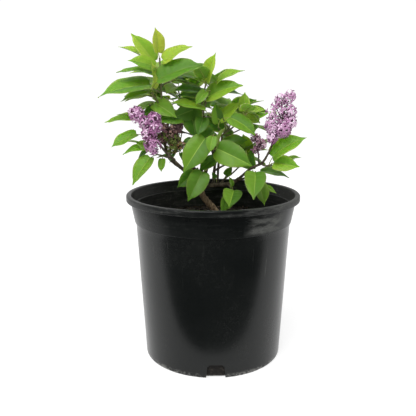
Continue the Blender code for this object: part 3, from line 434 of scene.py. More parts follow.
def point_along(run, share):
    """The point at this share of the run's points, and the run's direction there."""
    place = min(share, 0.999) * (len(run) - 1)
    low = int(place)
    step = run[low + 1] - run[low]
    return run[low] + step * (place - low), step.normalized()


def twig_run(start, direction, end, bow, straight=0.0):
    """A twig that comes up to its end. A stem first runs straight on from its bough."""
    end = Vector(end)
    foot = start + direction * straight
    span = (end - foot).length
    middle = foot.lerp(end, 0.5) + direction * span * TWIG_LEAD + Vector((0, 0, -bow))
    run = curve_through((foot, middle, end), 2)
    return [start, *run] if straight else run


def blade_outline(share):
    """Half a blade's width at this share of its length, as a share of the widest."""
    peak = OUTLINE_RISE / (OUTLINE_RISE + OUTLINE_FALL)
    widest = peak ** OUTLINE_RISE * (1 - peak) ** OUTLINE_FALL
    return share ** OUTLINE_RISE * (1 - share) ** OUTLINE_FALL / widest


class Leaf:
    """A heart-shaped blade on a stalk."""

    def __init__(self, root, heading, rise, length, roll, seed, rows=BLADE_ROWS):
        vary = random.Random(seed)
        self.rows = rows
        self.length = length
        self.width = LEAF_WIDTH * length * vary.uniform(0.94, 1.06)
        self.fold = math.radians(vary.uniform(*FOLD))
        self.arch = math.radians(vary.uniform(*ARCH))
        self.twist = math.radians(vary.uniform(*TWIST))
        self.wave = vary.uniform(0, 2 * math.pi)
        self.along = heading_vector(heading, rise)
        upright = Vector((0, 0, 1)) - self.along * self.along.z
        if upright.length < 0.05:
            upright = -heading_vector(heading, 0)
        upright.normalize()
        self.normal = Matrix.Rotation(math.radians(-roll), 3, self.along) @ upright
        self.side = self.along.cross(self.normal)
        stalk = STALK_SHARE * length + STALK_LEAST
        least, most = STALK_RISE
        lift = heading_vector(heading, max(least, min(most, rise + STALK_LIFT)))
        self.root = root
        self.base = root + lift * stalk

    def point(self, share, across, lift=0.0):
        """A point of the blade: share runs from base to tip, across from -1 to 1."""
        half = blade_outline(share)
        back = LOBE_SWEEP * half * abs(across) * (1 - share) ** 6
        along = share - back
        out = across * half * self.width / 2
        height = abs(out) * math.sin(self.fold) + lift
        wave = math.sin(MARGIN_WAVES * share + self.wave + across)
        height += MARGIN_RISE * self.length * across ** 2 * wave
        out *= math.cos(self.fold)
        turn = self.twist * share
        out, height = (out * math.cos(turn) - height * math.sin(turn),
                       out * math.sin(turn) + height * math.cos(turn))
        lean = self.arch / 2 - self.arch * along
        arc = self.length / (2 * math.sin(self.arch / 2))
        forward = arc * (math.sin(self.arch / 2) - math.sin(lean)) - height * math.sin(lean)
        upward = arc * (math.cos(lean) - math.cos(self.arch / 2)) + height * math.cos(lean)
        return self.base + self.along * forward + self.side * out + self.normal * upward

    def rings(self, extra=0.0):
        """Rings of three points round the stalk and four round the blade, then the tip."""
        thick = max(LEAF_THICKNESS, LEAF_THICKNESS_SHARE * self.length) / 2 + extra
        radius = STALK_RADIUS + extra
        made = []
        for place in (self.root, self.base):
            made.append([place + (self.normal * 0.5 - self.side * 0.87) * radius,
                         place + (self.normal * 0.5 + self.side * 0.87) * radius,
                         place - self.normal * radius])
        for share in self.rows:
            thin = thick * (1 - 0.4 * share)
            made.append([self.point(share, -1) - self.side * extra, self.point(share, 0, thin),
                         self.point(share, 1) + self.side * extra, self.point(share, 0, -thin)])
        return made, self.point(1.0, 0) + self.along * extra


def zip_rings(outer, inner):
    """Triangles between two closed rings of vertex numbers, which may have unlike counts."""
    faces = []
    i = j = 0
    while i < len(outer) or j < len(inner):
        a, b = outer[i % len(outer)], inner[j % len(inner)]
        if i < len(outer) and (i + 1) / len(outer) <= (j + 1) / len(inner):
            faces.append((a, b, outer[(i + 1) % len(outer)]))
            i += 1
        else:
            faces.append((a, b, inner[(j + 1) % len(inner)]))
            j += 1
    return faces


def blade_faces(near, far):
    """Triangles between two blade rings of (left, top, right, bottom), split alike above and below."""
    left, top, right, bottom = near
    far_left, far_top, far_right, far_bottom = far
    return [
        (far_left, left, top), (far_left, top, far_top),
        (far_top, top, far_right), (far_right, top, right),
        (far_right, right, bottom), (far_right, bottom, far_bottom),
        (far_bottom, bottom, far_left), (far_left, bottom, left)]


def ring_solid(rings, tip):
    """Vertices and faces of a closed solid with a flat start, flat sides on its stalk and a pointed end."""
    verts, numbered = [], []
    for ring in rings:
        numbered.append(tuple(range(len(verts), len(verts) + len(ring))))
        verts.extend(ring)
    faces = [tuple(reversed(numbered[0]))]
    for near, far in zip(numbered, numbered[1:]):
        if len(near) == len(far) == 3:
            faces.extend((far[k], near[k], near[(k + 1) % 3], far[(k + 1) % 3]) for k in range(3))
        elif len(near) == len(far) == 4:
            faces.extend(blade_faces(near, far))
        else:
            faces.extend(zip_rings(far, near))
    last = numbered[-1]
    faces.extend((last[k], last[(k + 1) % len(last)], len(verts)) for k in range(len(last)))
    return verts + [tip], faces


class Shape:
    """Something that is already in its place, for testing what comes near it."""

    def __init__(self, owner, kind, verts, faces):
        self.owner = owner
        self.kind = kind
        self.middle = sum(verts, Vector()) / len(verts)
        self.radius = max((point - self.middle).length for point in verts)
        self.tree = BVHTree.FromPolygons(verts, faces)

    def touches(self, other):
        if (self.middle - other.middle).length > self.radius + other.radius:
            return False
        return bool(self.tree.overlap(other.tree))


def tube_shape(owner, kind, run, radii, sides):
    """The tube round the run, as a Shape."""
    mesh = tube_mesh("shape", run, radii, sides)
    verts = [vert.co / MM for vert in mesh.vertices]
    faces = [tuple(face.vertices) for face in mesh.polygons]
    bpy.data.meshes.remove(mesh)
    return Shape(owner, kind, verts, faces)


def leaf_shapes(leaf, mass, extra=0.0):
    """The whole leaf, which other solids keep clear of, and the open part of its blade."""
    rings, tip = leaf.rings(extra)
    return (Shape(mass.name, "leaf", *ring_solid(rings, tip)),
            Shape(mass.name, "blade", *ring_solid(rings[OPEN_ROW:], tip)))


def leaf_is_clear(leaf, mass, placed):
    """Whether the leaf is in its space, clear of all else, and crosses no blade or twig of its own mass."""
    centre, reach = Vector(mass.space), mass.reach
    off = leaf.point(0.5, 0) - centre
    if sum((off[k] / reach[k]) ** 2 for k in range(3)) > 1.0:
        return False
    whole, blade = leaf_shapes(leaf, mass, LEAF_SPACE)
    for other in placed:
        if other.owner != mass.name:
            if other.kind != "blade" and whole.touches(other):
                return False
        elif other.kind != "leaf" and blade.touches(other):
            return False
    return True


def turns():
    """Small turns and tilts, the smallest first."""
    steps = range(-MOST_TURN, MOST_TURN + 1, TURN_STEP)
    pairs = ((turn, tilt) for turn in steps for tilt in steps)
    return sorted(pairs, key=lambda pair: abs(pair[0]) + abs(pair[1]))


def place_leaf(root, aim, mass, seed, rows, placed):
    """Tries the leaf at its aim, then turned a little, and keeps the first that is clear."""
    heading, rise, length, roll = aim
    for turn, tilt in turns():
        leaf = Leaf(root, heading + turn, rise + tilt, length, roll, seed, rows)
        if leaf_is_clear(leaf, mass, placed):
            placed.extend(leaf_shapes(leaf, mass))
            return leaf
    return None


def rule_aims(twig, run, vary):
    """Leaves in crosswise pairs along a twig: (share, (heading, rise, length, roll))."""
    aims = []
    for node in range(twig.pairs):
        share = PAIR_FIRST - PAIR_SPREAD * node / twig.pairs
        _, direction = point_along(run, share)
        level = direction.cross(Vector((0, 0, 1)))
        level = level.normalized() if level.length > 0.1 else Vector((1, 0, 0))
        over = level.cross(direction)
        turn = math.radians(90 * (node % 2) + vary.uniform(-25, 25) + 20)
        for sign in (1, -1):
            out = (level * math.cos(turn) + over * math.sin(turn)) * sign
            aim = direction * PAIR_FORWARD + out * PAIR_OUT
            heading = math.degrees(math.atan2(aim.y, aim.x))
            rise = math.degrees(math.asin(aim.normalized().z)) * 0.6 - 4 + vary.uniform(-10, 10)
            length = twig.size * vary.uniform(0.85, 1.12)
            aims.append((share, (heading, rise, length, vary.uniform(-28, 28))))
    return aims


def grow_twigs(mass, runs, placed):
    """Runs and radii of the mass's twigs. The stem starts just past its bough's tip."""
    bough_run, _ = runs[mass.bough]
    direction = (bough_run[-1] - bough_run[-2]).normalized()
    grown = []
    for twig in mass.twigs:
        if twig.parent is None:
            start = bough_run[-1] + direction * CLEAR
            leaving = direction
        else:
            start, leaving = point_along(grown[twig.parent][0], twig.share)
        straight = STRAIGHT_START if twig.parent is None else 0
        run = twig_run(start, leaving, twig.end, twig.bow, straight)
        radii = spread_radii((twig.radius, twig.radius * TWIG_TAPER), len(run))
        grown.append((run, radii))
        placed.append(tube_shape(mass.name, "twig", run, radii, TWIG_SIDES))
    return grown


def grow_aimed(mass, grown, placed):
    leaves = []
    for number, (twig, (run, _)) in enumerate(zip(mass.twigs, grown)):
        for index, (share, *aim, shade) in enumerate(twig.leaves):
            root, _ = point_along(run, share)
            seed = mass.seed * 1000 + number * 100 + index
            leaf = place_leaf(root, aim, mass, seed, BLADE_ROWS, placed)
            if leaf:
                leaves.append((leaf, shade))
    return leaves


def grow_by_rule(mass, grown, placed):
    vary = random.Random(mass.seed)
    leaves = []
    for number, (twig, (run, _)) in enumerate(zip(mass.twigs, grown)):
        for index, (share, aim) in enumerate(rule_aims(twig, run, vary)):
            root, _ = point_along(run, share)
            seed = mass.seed * 1000 + number * 100 + RULE_LEAVES + index
            leaf = place_leaf(root, aim, mass, seed, FEW_ROWS, placed)
            if leaf and seed not in BARE:
                leaves.append((leaf, random.Random(seed).choice(RULE_SHADES)))
    return leaves


def lobe_solid(centre, radius, seed):
    """A crowded ball of florets: a sphere whose twelve corners stand out and whose other points lie back."""
    bm = bmesh.new()
    bmesh.ops.create_icosphere(bm, subdivisions=2, radius=radius)
    vary = random.Random(seed)
    spin = Matrix.Rotation(vary.uniform(0, 6), 3, "X") @ Matrix.Rotation(vary.uniform(0, 6), 3, "Z")
    verts = []
    for vert in bm.verts:
        out = FLORET_OUT if len(vert.link_edges) == 5 else FLORET_IN
        verts.append(centre + spin @ vert.co * out * vary.uniform(0.94, 1.06))
    faces = [tuple(vert.index for vert in face.verts) for face in bm.faces]
    bm.free()
    return verts, faces


# ---------------------------------------------------------------- pieces

class Piece:
    """Gathers faces in millimetres, each with the number of its material, into one object."""

    def __init__(self, name, finishes, slot, nodes):
        self.name = name
        self.finishes = finishes
        self.slot = slot
        self.nodes = nodes
        self.verts = []
        self.faces = []
        self.numbers = []

    def add(self, verts, faces, number=0):
        """Adds the faces, whose material is one number or a list of them."""
        first = len(self.verts)
        self.verts.extend(verts)
        self.faces.extend(tuple(first + k for k in face) for face in faces)
        self.numbers.extend(number if isinstance(number, list) else [number] * len(faces))

    def finish(self, sharp=None):
        """Makes the object, with sharp edges where faces meet at more than this many degrees."""
        mesh = bpy.data.meshes.new(self.name)
        mesh.from_pydata([point * MM for point in self.verts], [], self.faces)
        for finish in self.finishes:
            mesh.materials.append(finish)
        mesh.polygons.foreach_set("material_index", self.numbers)
        mesh.polygons.foreach_set("use_smooth", [True] * len(self.faces))
        mesh.update()
        if sharp:
            mesh.set_sharp_from_angle(angle=math.radians(sharp))
        place_piece(self.name, mesh, self.nodes)


def place_piece(name, mesh, nodes):
    obj = new_object(name, mesh)
    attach(obj, "root")
    if nodes:
        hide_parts(*nodes)
    return obj


def tube(run, radii, sides, relief=None, cap=True):
    """Vertices and faces of a round tube, closed by low cones. relief(point) scales the radius there."""
    verts, faces = [], []
    side = None
    for index, (place, radius) in enumerate(zip(run, radii)):
        before, after = run[max(index - 1, 0)], run[min(index + 1, len(run) - 1)]
        forward = (after - before).normalized()
        if side is None:
            side = forward.orthogonal().normalized()
        side = (side - forward * side.dot(forward)).normalized()
        over = forward.cross(side)
        for k in range(sides):
            turn = 2 * math.pi * k / sides
            out = side * math.cos(turn) + over * math.sin(turn)
            scale = relief(place + out * radius) if relief else 1.0
            verts.append(place + out * radius * scale)
    for ring in range(len(run) - 1):
        near, far = ring * sides, (ring + 1) * sides
        for k in range(sides):
            after = (k + 1) % sides
            faces.append((near + k, near + after, far + after, far + k))
    if cap:
        ends = ((0, run[0], run[0] - run[1]), (len(verts) - sides, run[-1], run[-1] - run[-2]))
        for first, place, towards in ends:
            radius = radii[0] if first == 0 else radii[-1]
            verts.append(place + towards.normalized() * radius * 0.5)
            for k in range(sides):
                pair = (first + k, first + (k + 1) % sides)
                faces.append((pair[1], pair[0], len(verts) - 1) if first == 0 else (*pair, len(verts) - 1))
    return verts, faces


# ---------------------------------------------------------------- finishes

def new_finish(name, colour, roughness, **inputs):
    """A plain finish. Other inputs are the shader's, with _ for each space in their names."""
    finish = bpy.data.materials.new(name)
    finish.use_nodes = True
    shader = finish.node_tree.nodes["Principled BSDF"]
    shader.inputs["Base Color"].default_value = (*colour, 1)
    shader.inputs["Roughness"].default_value = roughness
    for key, value in inputs.items():
        shader.inputs[key.replace("_", " ")].default_value = value
    finish.diffuse_color = (*colour, 1)
    return finish


def node(owner, kind, **values):
    """A new node of a finish or of the world, with these values on its sockets or settings."""
    made = owner.node_tree.nodes.new(kind)
    for key, value in values.items():
        if key in made.inputs:
            made.inputs[key].default_value = value
        else:
            setattr(made, key, value)
    return made


def join(owner, source, socket):
    owner.node_tree.links.new(source, socket)


def noise_of(finish, scale, detail, roughness=0.6, stretch=None, source=None):
    """A noise texture in object space or over the source, stretched where asked for.

    Most of it is between 0.3 and 0.7.
    """
    source = source or node(finish, "ShaderNodeTexCoord").outputs["Object"]
    if stretch:
        mapping = node(finish, "ShaderNodeMapping", Scale=stretch)
        join(finish, source, mapping.inputs["Vector"])
        source = mapping.outputs["Vector"]
    made = node(finish, "ShaderNodeTexNoise", Scale=scale, Detail=detail, Roughness=roughness)
    join(finish, source, made.inputs["Vector"])
    return made.outputs[0]


def ramp_of(finish, source, stops):
    """A colour ramp over the source, from (place, colour) pairs."""
    made = node(finish, "ShaderNodeValToRGB")
    elements = made.color_ramp.elements
    while len(elements) < len(stops):
        elements.new(0.5)
    for element, (place, colour) in zip(elements, stops):
        element.position = place
        element.color = (*colour, 1) if isinstance(colour, tuple) else (colour, colour, colour, 1)
    join(finish, source, made.inputs[0])
    return made.outputs[0]


def mixed(finish, share, first, second):
    """Mixes two colours, each an output or a plain colour, by an output."""
    made = node(finish, "ShaderNodeMix", data_type="RGBA")
    join(finish, share, made.inputs[0])
    for socket, value in ((made.inputs[6], first), (made.inputs[7], second)):
        if isinstance(value, tuple):
            socket.default_value = (*value, 1)
        else:
            join(finish, value, socket)
    return made.outputs[2]


def calculated(finish, operation, first, second=0.5, third=0.5, clamp=False):
    """The result of a sum, of outputs or plain numbers."""
    made = node(finish, "ShaderNodeMath", operation=operation, use_clamp=clamp)
    for socket, value in zip(made.inputs, (first, second, third)):
        if isinstance(value, (int, float)):
            socket.default_value = value
        else:
            join(finish, value, socket)
    return made.outputs[0]


def bumped(finish, height, distance, strength):
    """Raises the surface where the height is great, by this distance in metres."""
    shader = finish.node_tree.nodes["Principled BSDF"]
    made = node(finish, "ShaderNodeBump", Strength=strength, Distance=distance)
    join(finish, height, made.inputs["Height"])
    join(finish, made.outputs[0], shader.inputs["Normal"])


def link(finish, source, name):
    """Joins the source to the shader's socket of this name."""
    shader = finish.node_tree.nodes["Principled BSDF"]
    join(finish, source, shader.inputs[name])


# Blade colours, from the deepest to the lightest, then yellow green and olive. The steps are partly the
# leaves' own tone and partly painted light and shade: each leaf takes the step that matches how lit or how
# shaded it stands in the bush.
BLADE_TONE_AND_SHADE = (
    (0.036, 0.096, 0.008), (0.056, 0.144, 0.012), (0.085, 0.200, 0.015), (0.130, 0.268, 0.018),
    (0.202, 0.343, 0.023), (0.287, 0.421, 0.036), (0.376, 0.499, 0.063), (0.336, 0.374, 0.042))
# The darker underside and rib go with the deeper blade colours, and so carry the same painted shade as the
# blade.
UNDERSIDES = ((0.120, 0.200, 0.030), (0.210, 0.320, 0.055))
RIBS = ((0.120, 0.215, 0.025), (0.235, 0.370, 0.040))
STALK = (0.230, 0.270, 0.050)
# Light that a thin blade lets through.
GLOW = {"Subsurface_Weight": 0.5, "Subsurface_Scale": 0.002, "Subsurface_Radius": (0.6, 1.0, 0.25)}
LEAF_GRAIN = (900, 3, 0.0003, 0.35)
PETAL_GRAIN = (1500, 2, 0.0002, 0.3)

# Bark and growing mix: each finish's dark, main and pale colours
OLD_BARK = ((0.040, 0.027, 0.016), (0.290, 0.200, 0.110), (0.60, 0.47, 0.29))
YOUNG_BARK = ((0.022, 0.017, 0.010), (0.092, 0.072, 0.044), (0.21, 0.175, 0.115))
TWIG_BARK = ((0.05, 0.045, 0.02), (0.13, 0.13, 0.05), (0.22, 0.22, 0.10))
MIX = ((0.007, 0.005, 0.004), (0.020, 0.013, 0.009), (0.070, 0.047, 0.032))
PACKED_MIX = ((0.003, 0.002, 0.0015), (0.008, 0.006, 0.004), (0.05, 0.042, 0.034))
CHIP_COLOURS = {
    "chip_dark": ((0.009, 0.006, 0.005), (0.024, 0.015, 0.011), (0.06, 0.04, 0.03)),
    "chip_brown": ((0.024, 0.014, 0.009), (0.060, 0.036, 0.022), (0.13, 0.085, 0.055)),
    "chip_pale": ((0.06, 0.042, 0.028), (0.13, 0.092, 0.062), (0.24, 0.18, 0.125)),
}

# Plastic of the pot
BLACK = (0.0044, 0.0056, 0.0053)
DUST = (0.105, 0.108, 0.100)
WORN = (0.30, 0.30, 0.28)
# Places worn pale: least and most metres round from the front, least and most height
COLLAR_SCUFF = (0.050, 0.150, 0.240, 0.276)
RIM_SCUFF = (0.040, 0.330, 0.276, 0.292)
SCUFF_EDGES = (0.020, 0.006)     # how softly they end, round the pot and up it, in metres
FOOT_WEAR = -110.0               # how fast the wear of the bottom edge fades upwards, per metre
# Noise: scale, detail, roughness, and how it is stretched round the pot and up it
CLOUDS = (9, 5, 0.55)
SPECKS = (160, 6, 0.7)
FLAKES = (120, 4, 0.75)
STREAKS = (60, 5, 0.65, (0.35, 4.0, 1))
SCRATCHES = (75, 5, 0.6, (1.6, 0.10, 1))
PATCHES = (30, 6, 0.72, (0.8, 2.6, 1))


def grained(finish, grain):
    """The finish with a fine grain: its noise's scale and detail, then its height and strength."""
    scale, detail, height, strength = grain
    bumped(finish, noise_of(finish, scale, detail), height, strength)
    return finish


def finish_set(name, colours, roughness, grain, **inputs):
    """A finish for each colour, all with the same grain."""
    made = []
    for number, colour in enumerate(colours):
        made.append(grained(new_finish(f"{name}_{number}", colour, roughness, **inputs), grain))
    return made


def leaf_finishes():
    """The blade shades, two undersides, two ribs and the stalk, each with the fine grain of a leaf."""
    return [
        *finish_set("blade", BLADE_TONE_AND_SHADE, 0.48, LEAF_GRAIN, Specular_IOR_Level=0.25, **GLOW),
        *finish_set("underside", UNDERSIDES, 0.6, LEAF_GRAIN, Specular_IOR_Level=0.3, **GLOW),
        *finish_set("leaf_rib", RIBS, 0.5, LEAF_GRAIN, Specular_IOR_Level=0.3),
        grained(new_finish("leaf_stalk", STALK, 0.5), LEAF_GRAIN)]


# Places of the undersides, ribs and stalk among them
UNDER_DARK, UNDER_LIGHT, RIB_DARK, RIB_LIGHT, STALK_NUMBER = 8, 9, 10, 11, 12


def grained_finish(name, colours, places, roughness, grain, bump):
    """A grainy finish that runs from dark through its main colour to pale, at these places of its noise."""
    finish = new_finish(name, colours[1], roughness)
    height = noise_of(finish, *grain)
    link(finish, ramp_of(finish, height, tuple(zip(places, colours))), "Base Color")
    bumped(finish, height, *bump)
    return finish


def bark_finish(name, colours):
    """Bark with grain along the limb, pale specks and furrows."""
    return grained_finish(
        name, colours, (0.30, 0.52, 0.72), 0.8, (260, 6, 0.65, (1, 1, 0.35)), (0.0012, 0.8))


def soil_finish(name, colours):
    """Moist crumbs."""
    return grained_finish(name, colours, (0.32, 0.52, 0.70), 0.92, (180, 8, 0.7), (0.003, 0.9))


def petal_finishes(name, colours, roughness):
    return finish_set(name, colours, roughness, PETAL_GRAIN, Specular_IOR_Level=0.25)


def unrolled(finish):
    """The pot's surface as a flat sheet: metres round from the front and height, together and each alone."""
    place = node(finish, "ShaderNodeTexCoord").outputs["Object"]
    axes = node(finish, "ShaderNodeSeparateXYZ")
    join(finish, place, axes.inputs[0])
    x, y, height = axes.outputs
    turn = calculated(finish, "ARCTAN2", x, calculated(finish, "MULTIPLY", y, -1.0))
    round_it = calculated(finish, "MULTIPLY", turn, RIM_RADIUS * MM)
    sheet = node(finish, "ShaderNodeCombineXYZ")
    for source, socket in zip((round_it, height), sheet.inputs):
        join(finish, source, socket)
    return sheet.outputs[0], round_it, height


def band(finish, source, least, most, soft):
    """1 where the source lies between two values, falling to 0 over a soft edge."""
    rise = calculated(finish, "MULTIPLY_ADD", source, 1 / soft, -least / soft, True)
    fall = calculated(finish, "MULTIPLY_ADD", source, -1 / soft, most / soft, True)
    return calculated(finish, "MULTIPLY", rise, fall)


def ramped(finish, source, least, most, share):
    """Rises from 0 at the least value of the source to the share at the most."""
    return calculated(finish, "MULTIPLY", ramp_of(finish, source, ((least, 0.0), (most, 1.0))), share)


def worn_patches(finish, sheet, round_it, height, scuff):
    """How far the scuffed place is worn, which is patchy."""
    round_edge, height_edge = SCUFF_EDGES
    inside = calculated(finish, "MULTIPLY", band(finish, round_it, *scuff[:2], round_edge),
                        band(finish, height, *scuff[2:], height_edge))
    patches = ramp_of(finish, noise_of(finish, *PATCHES, sheet), ((0.42, 0.05), (0.62, 0.85)))
    return calculated(finish, "MULTIPLY", inside, patches)


def plastic_finish(name, gloss, dust_share, streak_share, scuff=None):
    """Black moulded plastic with clouds of dust, streaks that run round it, fine scratches and worn places.

    gloss is its roughness and specular level. scuff is the worn place.
    """
    roughness, level = gloss
    finish = new_finish(name, BLACK, roughness, Specular_IOR_Level=level)
    sheet, round_it, height = unrolled(finish)
    clouds, specks = noise_of(finish, *CLOUDS), noise_of(finish, *SPECKS)
    dust = ramped(finish, clouds, 0.42, 0.70, dust_share)
    streaks = ramped(finish, noise_of(finish, *STREAKS, sheet), 0.48, 0.66, streak_share)
    dust = calculated(finish, "ADD", dust, streaks)
    grains = ramp_of(finish, specks, ((0.50, 0.25), (0.70, 1.0)))
    dust = calculated(finish, "MULTIPLY", dust, grains, 0, True)
    if scuff:
        worn = worn_patches(finish, sheet, round_it, height, scuff)
        dust = calculated(finish, "MAXIMUM", dust, worn)
    colour = mixed(finish, dust, BLACK, DUST)
    foot = calculated(finish, "MULTIPLY_ADD", height, FOOT_WEAR, 1.0, True)
    flakes = ramped(finish, noise_of(finish, *FLAKES), 0.47, 0.58, 0.8)
    scratches = ramped(finish, noise_of(finish, *SCRATCHES, sheet), 0.66, 0.74, 0.12)
    wear = calculated(finish, "MULTIPLY_ADD", foot, flakes, scratches, True)
    link(finish, mixed(finish, wear, colour, WORN), "Base Color")
    rough = calculated(finish, "MULTIPLY_ADD", clouds, 0.16, roughness - 0.08)
    link(finish, calculated(finish, "MULTIPLY_ADD", dust, 0.5, rough, True), "Roughness")
    bumped(finish, calculated(finish, "MULTIPLY_ADD", specks, 0.12, clouds), 0.003, 0.10)
    return finish


# ---------------------------------------------------------------- pot and growing mix

def arc(centre, radius, first, last, steps):
    """Points of a profile's rounded corner, from one angle to another, in degrees."""
    points = []
    for k in range(steps + 1):
        turn = math.radians(first + (last - first) * k / steps)
        points.append((centre[0] + radius * math.cos(turn), centre[1] + radius * math.sin(turn)))
    return points


def pot_profile():
    """Radius and height, from the middle of the floor up the inside and down the outside.

    The small numbers are the radii of rounded corners and how far from an edge its bend starts.
    """
    lip_foot = POT_HEIGHT - LIP_HEIGHT
    rim_inner = RIM_RADIUS - RIM_WIDTH
    step = POT_HEIGHT - INNER_STEP_DEPTH
    collar_inner = COLLAR_TOP_RADIUS - WALL
    foot_inner = COLLAR_FOOT_RADIUS - WALL
    body_inner = BODY_TOP_RADIUS - WALL
    return [
        (0, FLOOR), (BASE_RADIUS - WALL - 4, FLOOR), *arc((BASE_RADIUS - WALL - 2, FLOOR + 2), 2, -90, 0, 4),
        (body_inner, COLLAR_FOOT - 4), (foot_inner, COLLAR_FOOT + 3),
        (collar_inner - 3.4, step - 1), (collar_inner - 1.2, step), (collar_inner - 0.6, step + 1.5),
        *arc((rim_inner + 2.2, POT_HEIGHT - 2.4), 2.4, 180, 90, 6),
        *arc((RIM_RADIUS - 2.8, POT_HEIGHT - 2.8), 2.8, 90, 0, 8),
        *arc((RIM_RADIUS - 1.0, lip_foot + 1.0), 1.0, 0, -90, 4),
        *arc((COLLAR_TOP_RADIUS + 1.2, lip_foot - 1.2), 1.2, 90, 180, 4),
        (COLLAR_TOP_RADIUS, lip_foot - 4), (COLLAR_MIDDLE_RADIUS + 1.2, COLLAR_MIDDLE + 6),
        (COLLAR_MIDDLE_RADIUS, COLLAR_MIDDLE),
        (COLLAR_FOOT_RADIUS + 0.4, COLLAR_FOOT + 2.5),
        *arc((COLLAR_FOOT_RADIUS - 0.9, COLLAR_FOOT + 0.9), 0.9, 0, -90, 4),
        *arc((BODY_TOP_RADIUS + 0.5, COLLAR_FOOT - 0.5), 0.5, 90, 180, 3),
        (BODY_TOP_RADIUS - 0.6, COLLAR_FOOT - 10), (BASE_RADIUS + 0.4, BASE_EDGE + 8),
        *arc((BASE_RADIUS - BASE_EDGE, BASE_EDGE), BASE_EDGE, 0, -90, 6),
        (BASE_RADIUS - 12, 0.0), (0, 0),
    ]


def turned_mesh(name, profile, steps):
    """The mesh of a solid of revolution, whose profile starts and ends on the axis."""
    mesh = bpy.data.meshes.new(name)
    points = [(radius * MM, 0, height * MM) for radius, height in profile]
    mesh.from_pydata(points, [(i, i + 1) for i in range(len(points) - 1)], [])
    obj = new_object(name, mesh)
    screw = obj.modifiers.new("turn", "SCREW")
    screw.steps = screw.render_steps = steps
    screw.use_merge_vertices = True
    screw.merge_threshold = 0.00001
    made = evaluated_mesh(obj)
    bpy.data.objects.remove(obj, do_unlink=True)
    return made


def notch_cutter(index):
    """A block with a narrower rounded top, laid across the pot's bottom edge."""
    bm = bmesh.new()
    bmesh.ops.create_cube(bm, size=1.0)
    inner, outer = BASE_RADIUS - NOTCH_REACH, BASE_RADIUS + NOTCH_PAST
    for vert in bm.verts:
        top = vert.co.z > 0
        width = NOTCH_TOP_WIDTH if top else NOTCH_FOOT_WIDTH
        vert.co = Vector((
            outer if vert.co.x > 0 else inner,
            math.copysign(width / 2, vert.co.y),
            NOTCH_HEIGHT if top else -NOTCH_PAST / 2)) * MM
    upper = []
    for edge in bm.edges:
        first, second = (vert.co for vert in edge.verts)
        if abs(first.y - second.y) < 0.1 * MM and abs(first.x - second.x) > MM and min(first.z, second.z) > 0:
            upper.append(edge)
    bmesh.ops.bevel(bm, geom=upper, offset=NOTCH_ROUND * MM, segments=3, affect="EDGES")
    turn = math.radians(NOTCH_TURN + 360 * index / NOTCH_COUNT)
    bmesh.ops.rotate(bm, verts=bm.verts, cent=(0, 0, 0), matrix=Matrix.Rotation(turn, 3, "Z"))
    mesh = bpy.data.meshes.new("notch")
    bm.to_mesh(mesh)
    bm.free()
    return new_object(f"notch_cutter_{index}", mesh)


BODY, COLLAR, RIM, INSIDE = range(4)     # numbers of the pot's finishes


def pot_zone(face):
    """The number of the face's finish."""
    radius, height = face.center.xy.length / MM, face.center.z / MM
    if height > POT_HEIGHT - LIP_HEIGHT - 1 and radius > RIM_RADIUS - RIM_WIDTH - 1:
        return RIM
    if face.normal.xy.dot(face.center.xy) < 0 and height > FLOOR:
        return INSIDE
    return COLLAR if height > COLLAR_FOOT - 1 else BODY


def make_pot():
    """The shell, turned and notched, with a finish for each of its zones."""
    turned = turned_mesh("pot_shell", pot_profile(), POT_STEPS)
    shell = place_piece("pot_shell", turned, ["pot"])
    cutters = [notch_cutter(index) for index in range(NOTCH_COUNT)]
    for cutter in cutters:
        cut = shell.modifiers.new("notch", "BOOLEAN")
        cut.operation = "DIFFERENCE"
        cut.object = cutter
    mesh = evaluated_mesh(shell)
    shell.modifiers.clear()
    shell.data = mesh
    for cutter in cutters:
        bpy.data.objects.remove(cutter, do_unlink=True)
    mesh.materials.clear()
    for finish in (
            plastic_finish("pot_body", (0.24, 0.29), 0.09, 0.02),
            plastic_finish("pot_collar", (0.27, 0.17), 0.10, 0.12, COLLAR_SCUFF),
            plastic_finish("pot_rim", (0.36, 0.26), 0.45, 0.90, RIM_SCUFF),
            plastic_finish("pot_inside", (0.42, 0.40), 0.90, 1.20)):
        mesh.materials.append(finish)
    mesh.polygons.foreach_set("material_index", [pot_zone(face) for face in mesh.polygons])
    mesh.polygons.foreach_set("use_smooth", [True] * len(mesh.polygons))
    mesh.set_sharp_from_angle(angle=math.radians(35))


def soil_height(x, y):
    """Height of the growing mix's surface at this place, in millimetres."""
    spread = min(1.0, math.hypot(x, y) / (BODY_TOP_RADIUS - WALL))
    lumps = noise.fractal(Vector((x, y, 0)) * LUMP_GRAIN, 0.9, 2.1, 4)
    return SOIL_LEVEL - SOIL_DIP * spread ** 4 + LUMP_HEIGHT * lumps * (1 - spread ** 8)


def soil_ring(spread, height=None):
    """A ring of the bed's points, which lie on its surface where no height is given."""
    points = []
    for k in range(BED_STEPS):
        turn = 2 * math.pi * k / BED_STEPS
        x, y = spread * math.cos(turn), spread * math.sin(turn)
        points.append(Vector((x, y, soil_height(x, y) if height is None else height)))
    return points


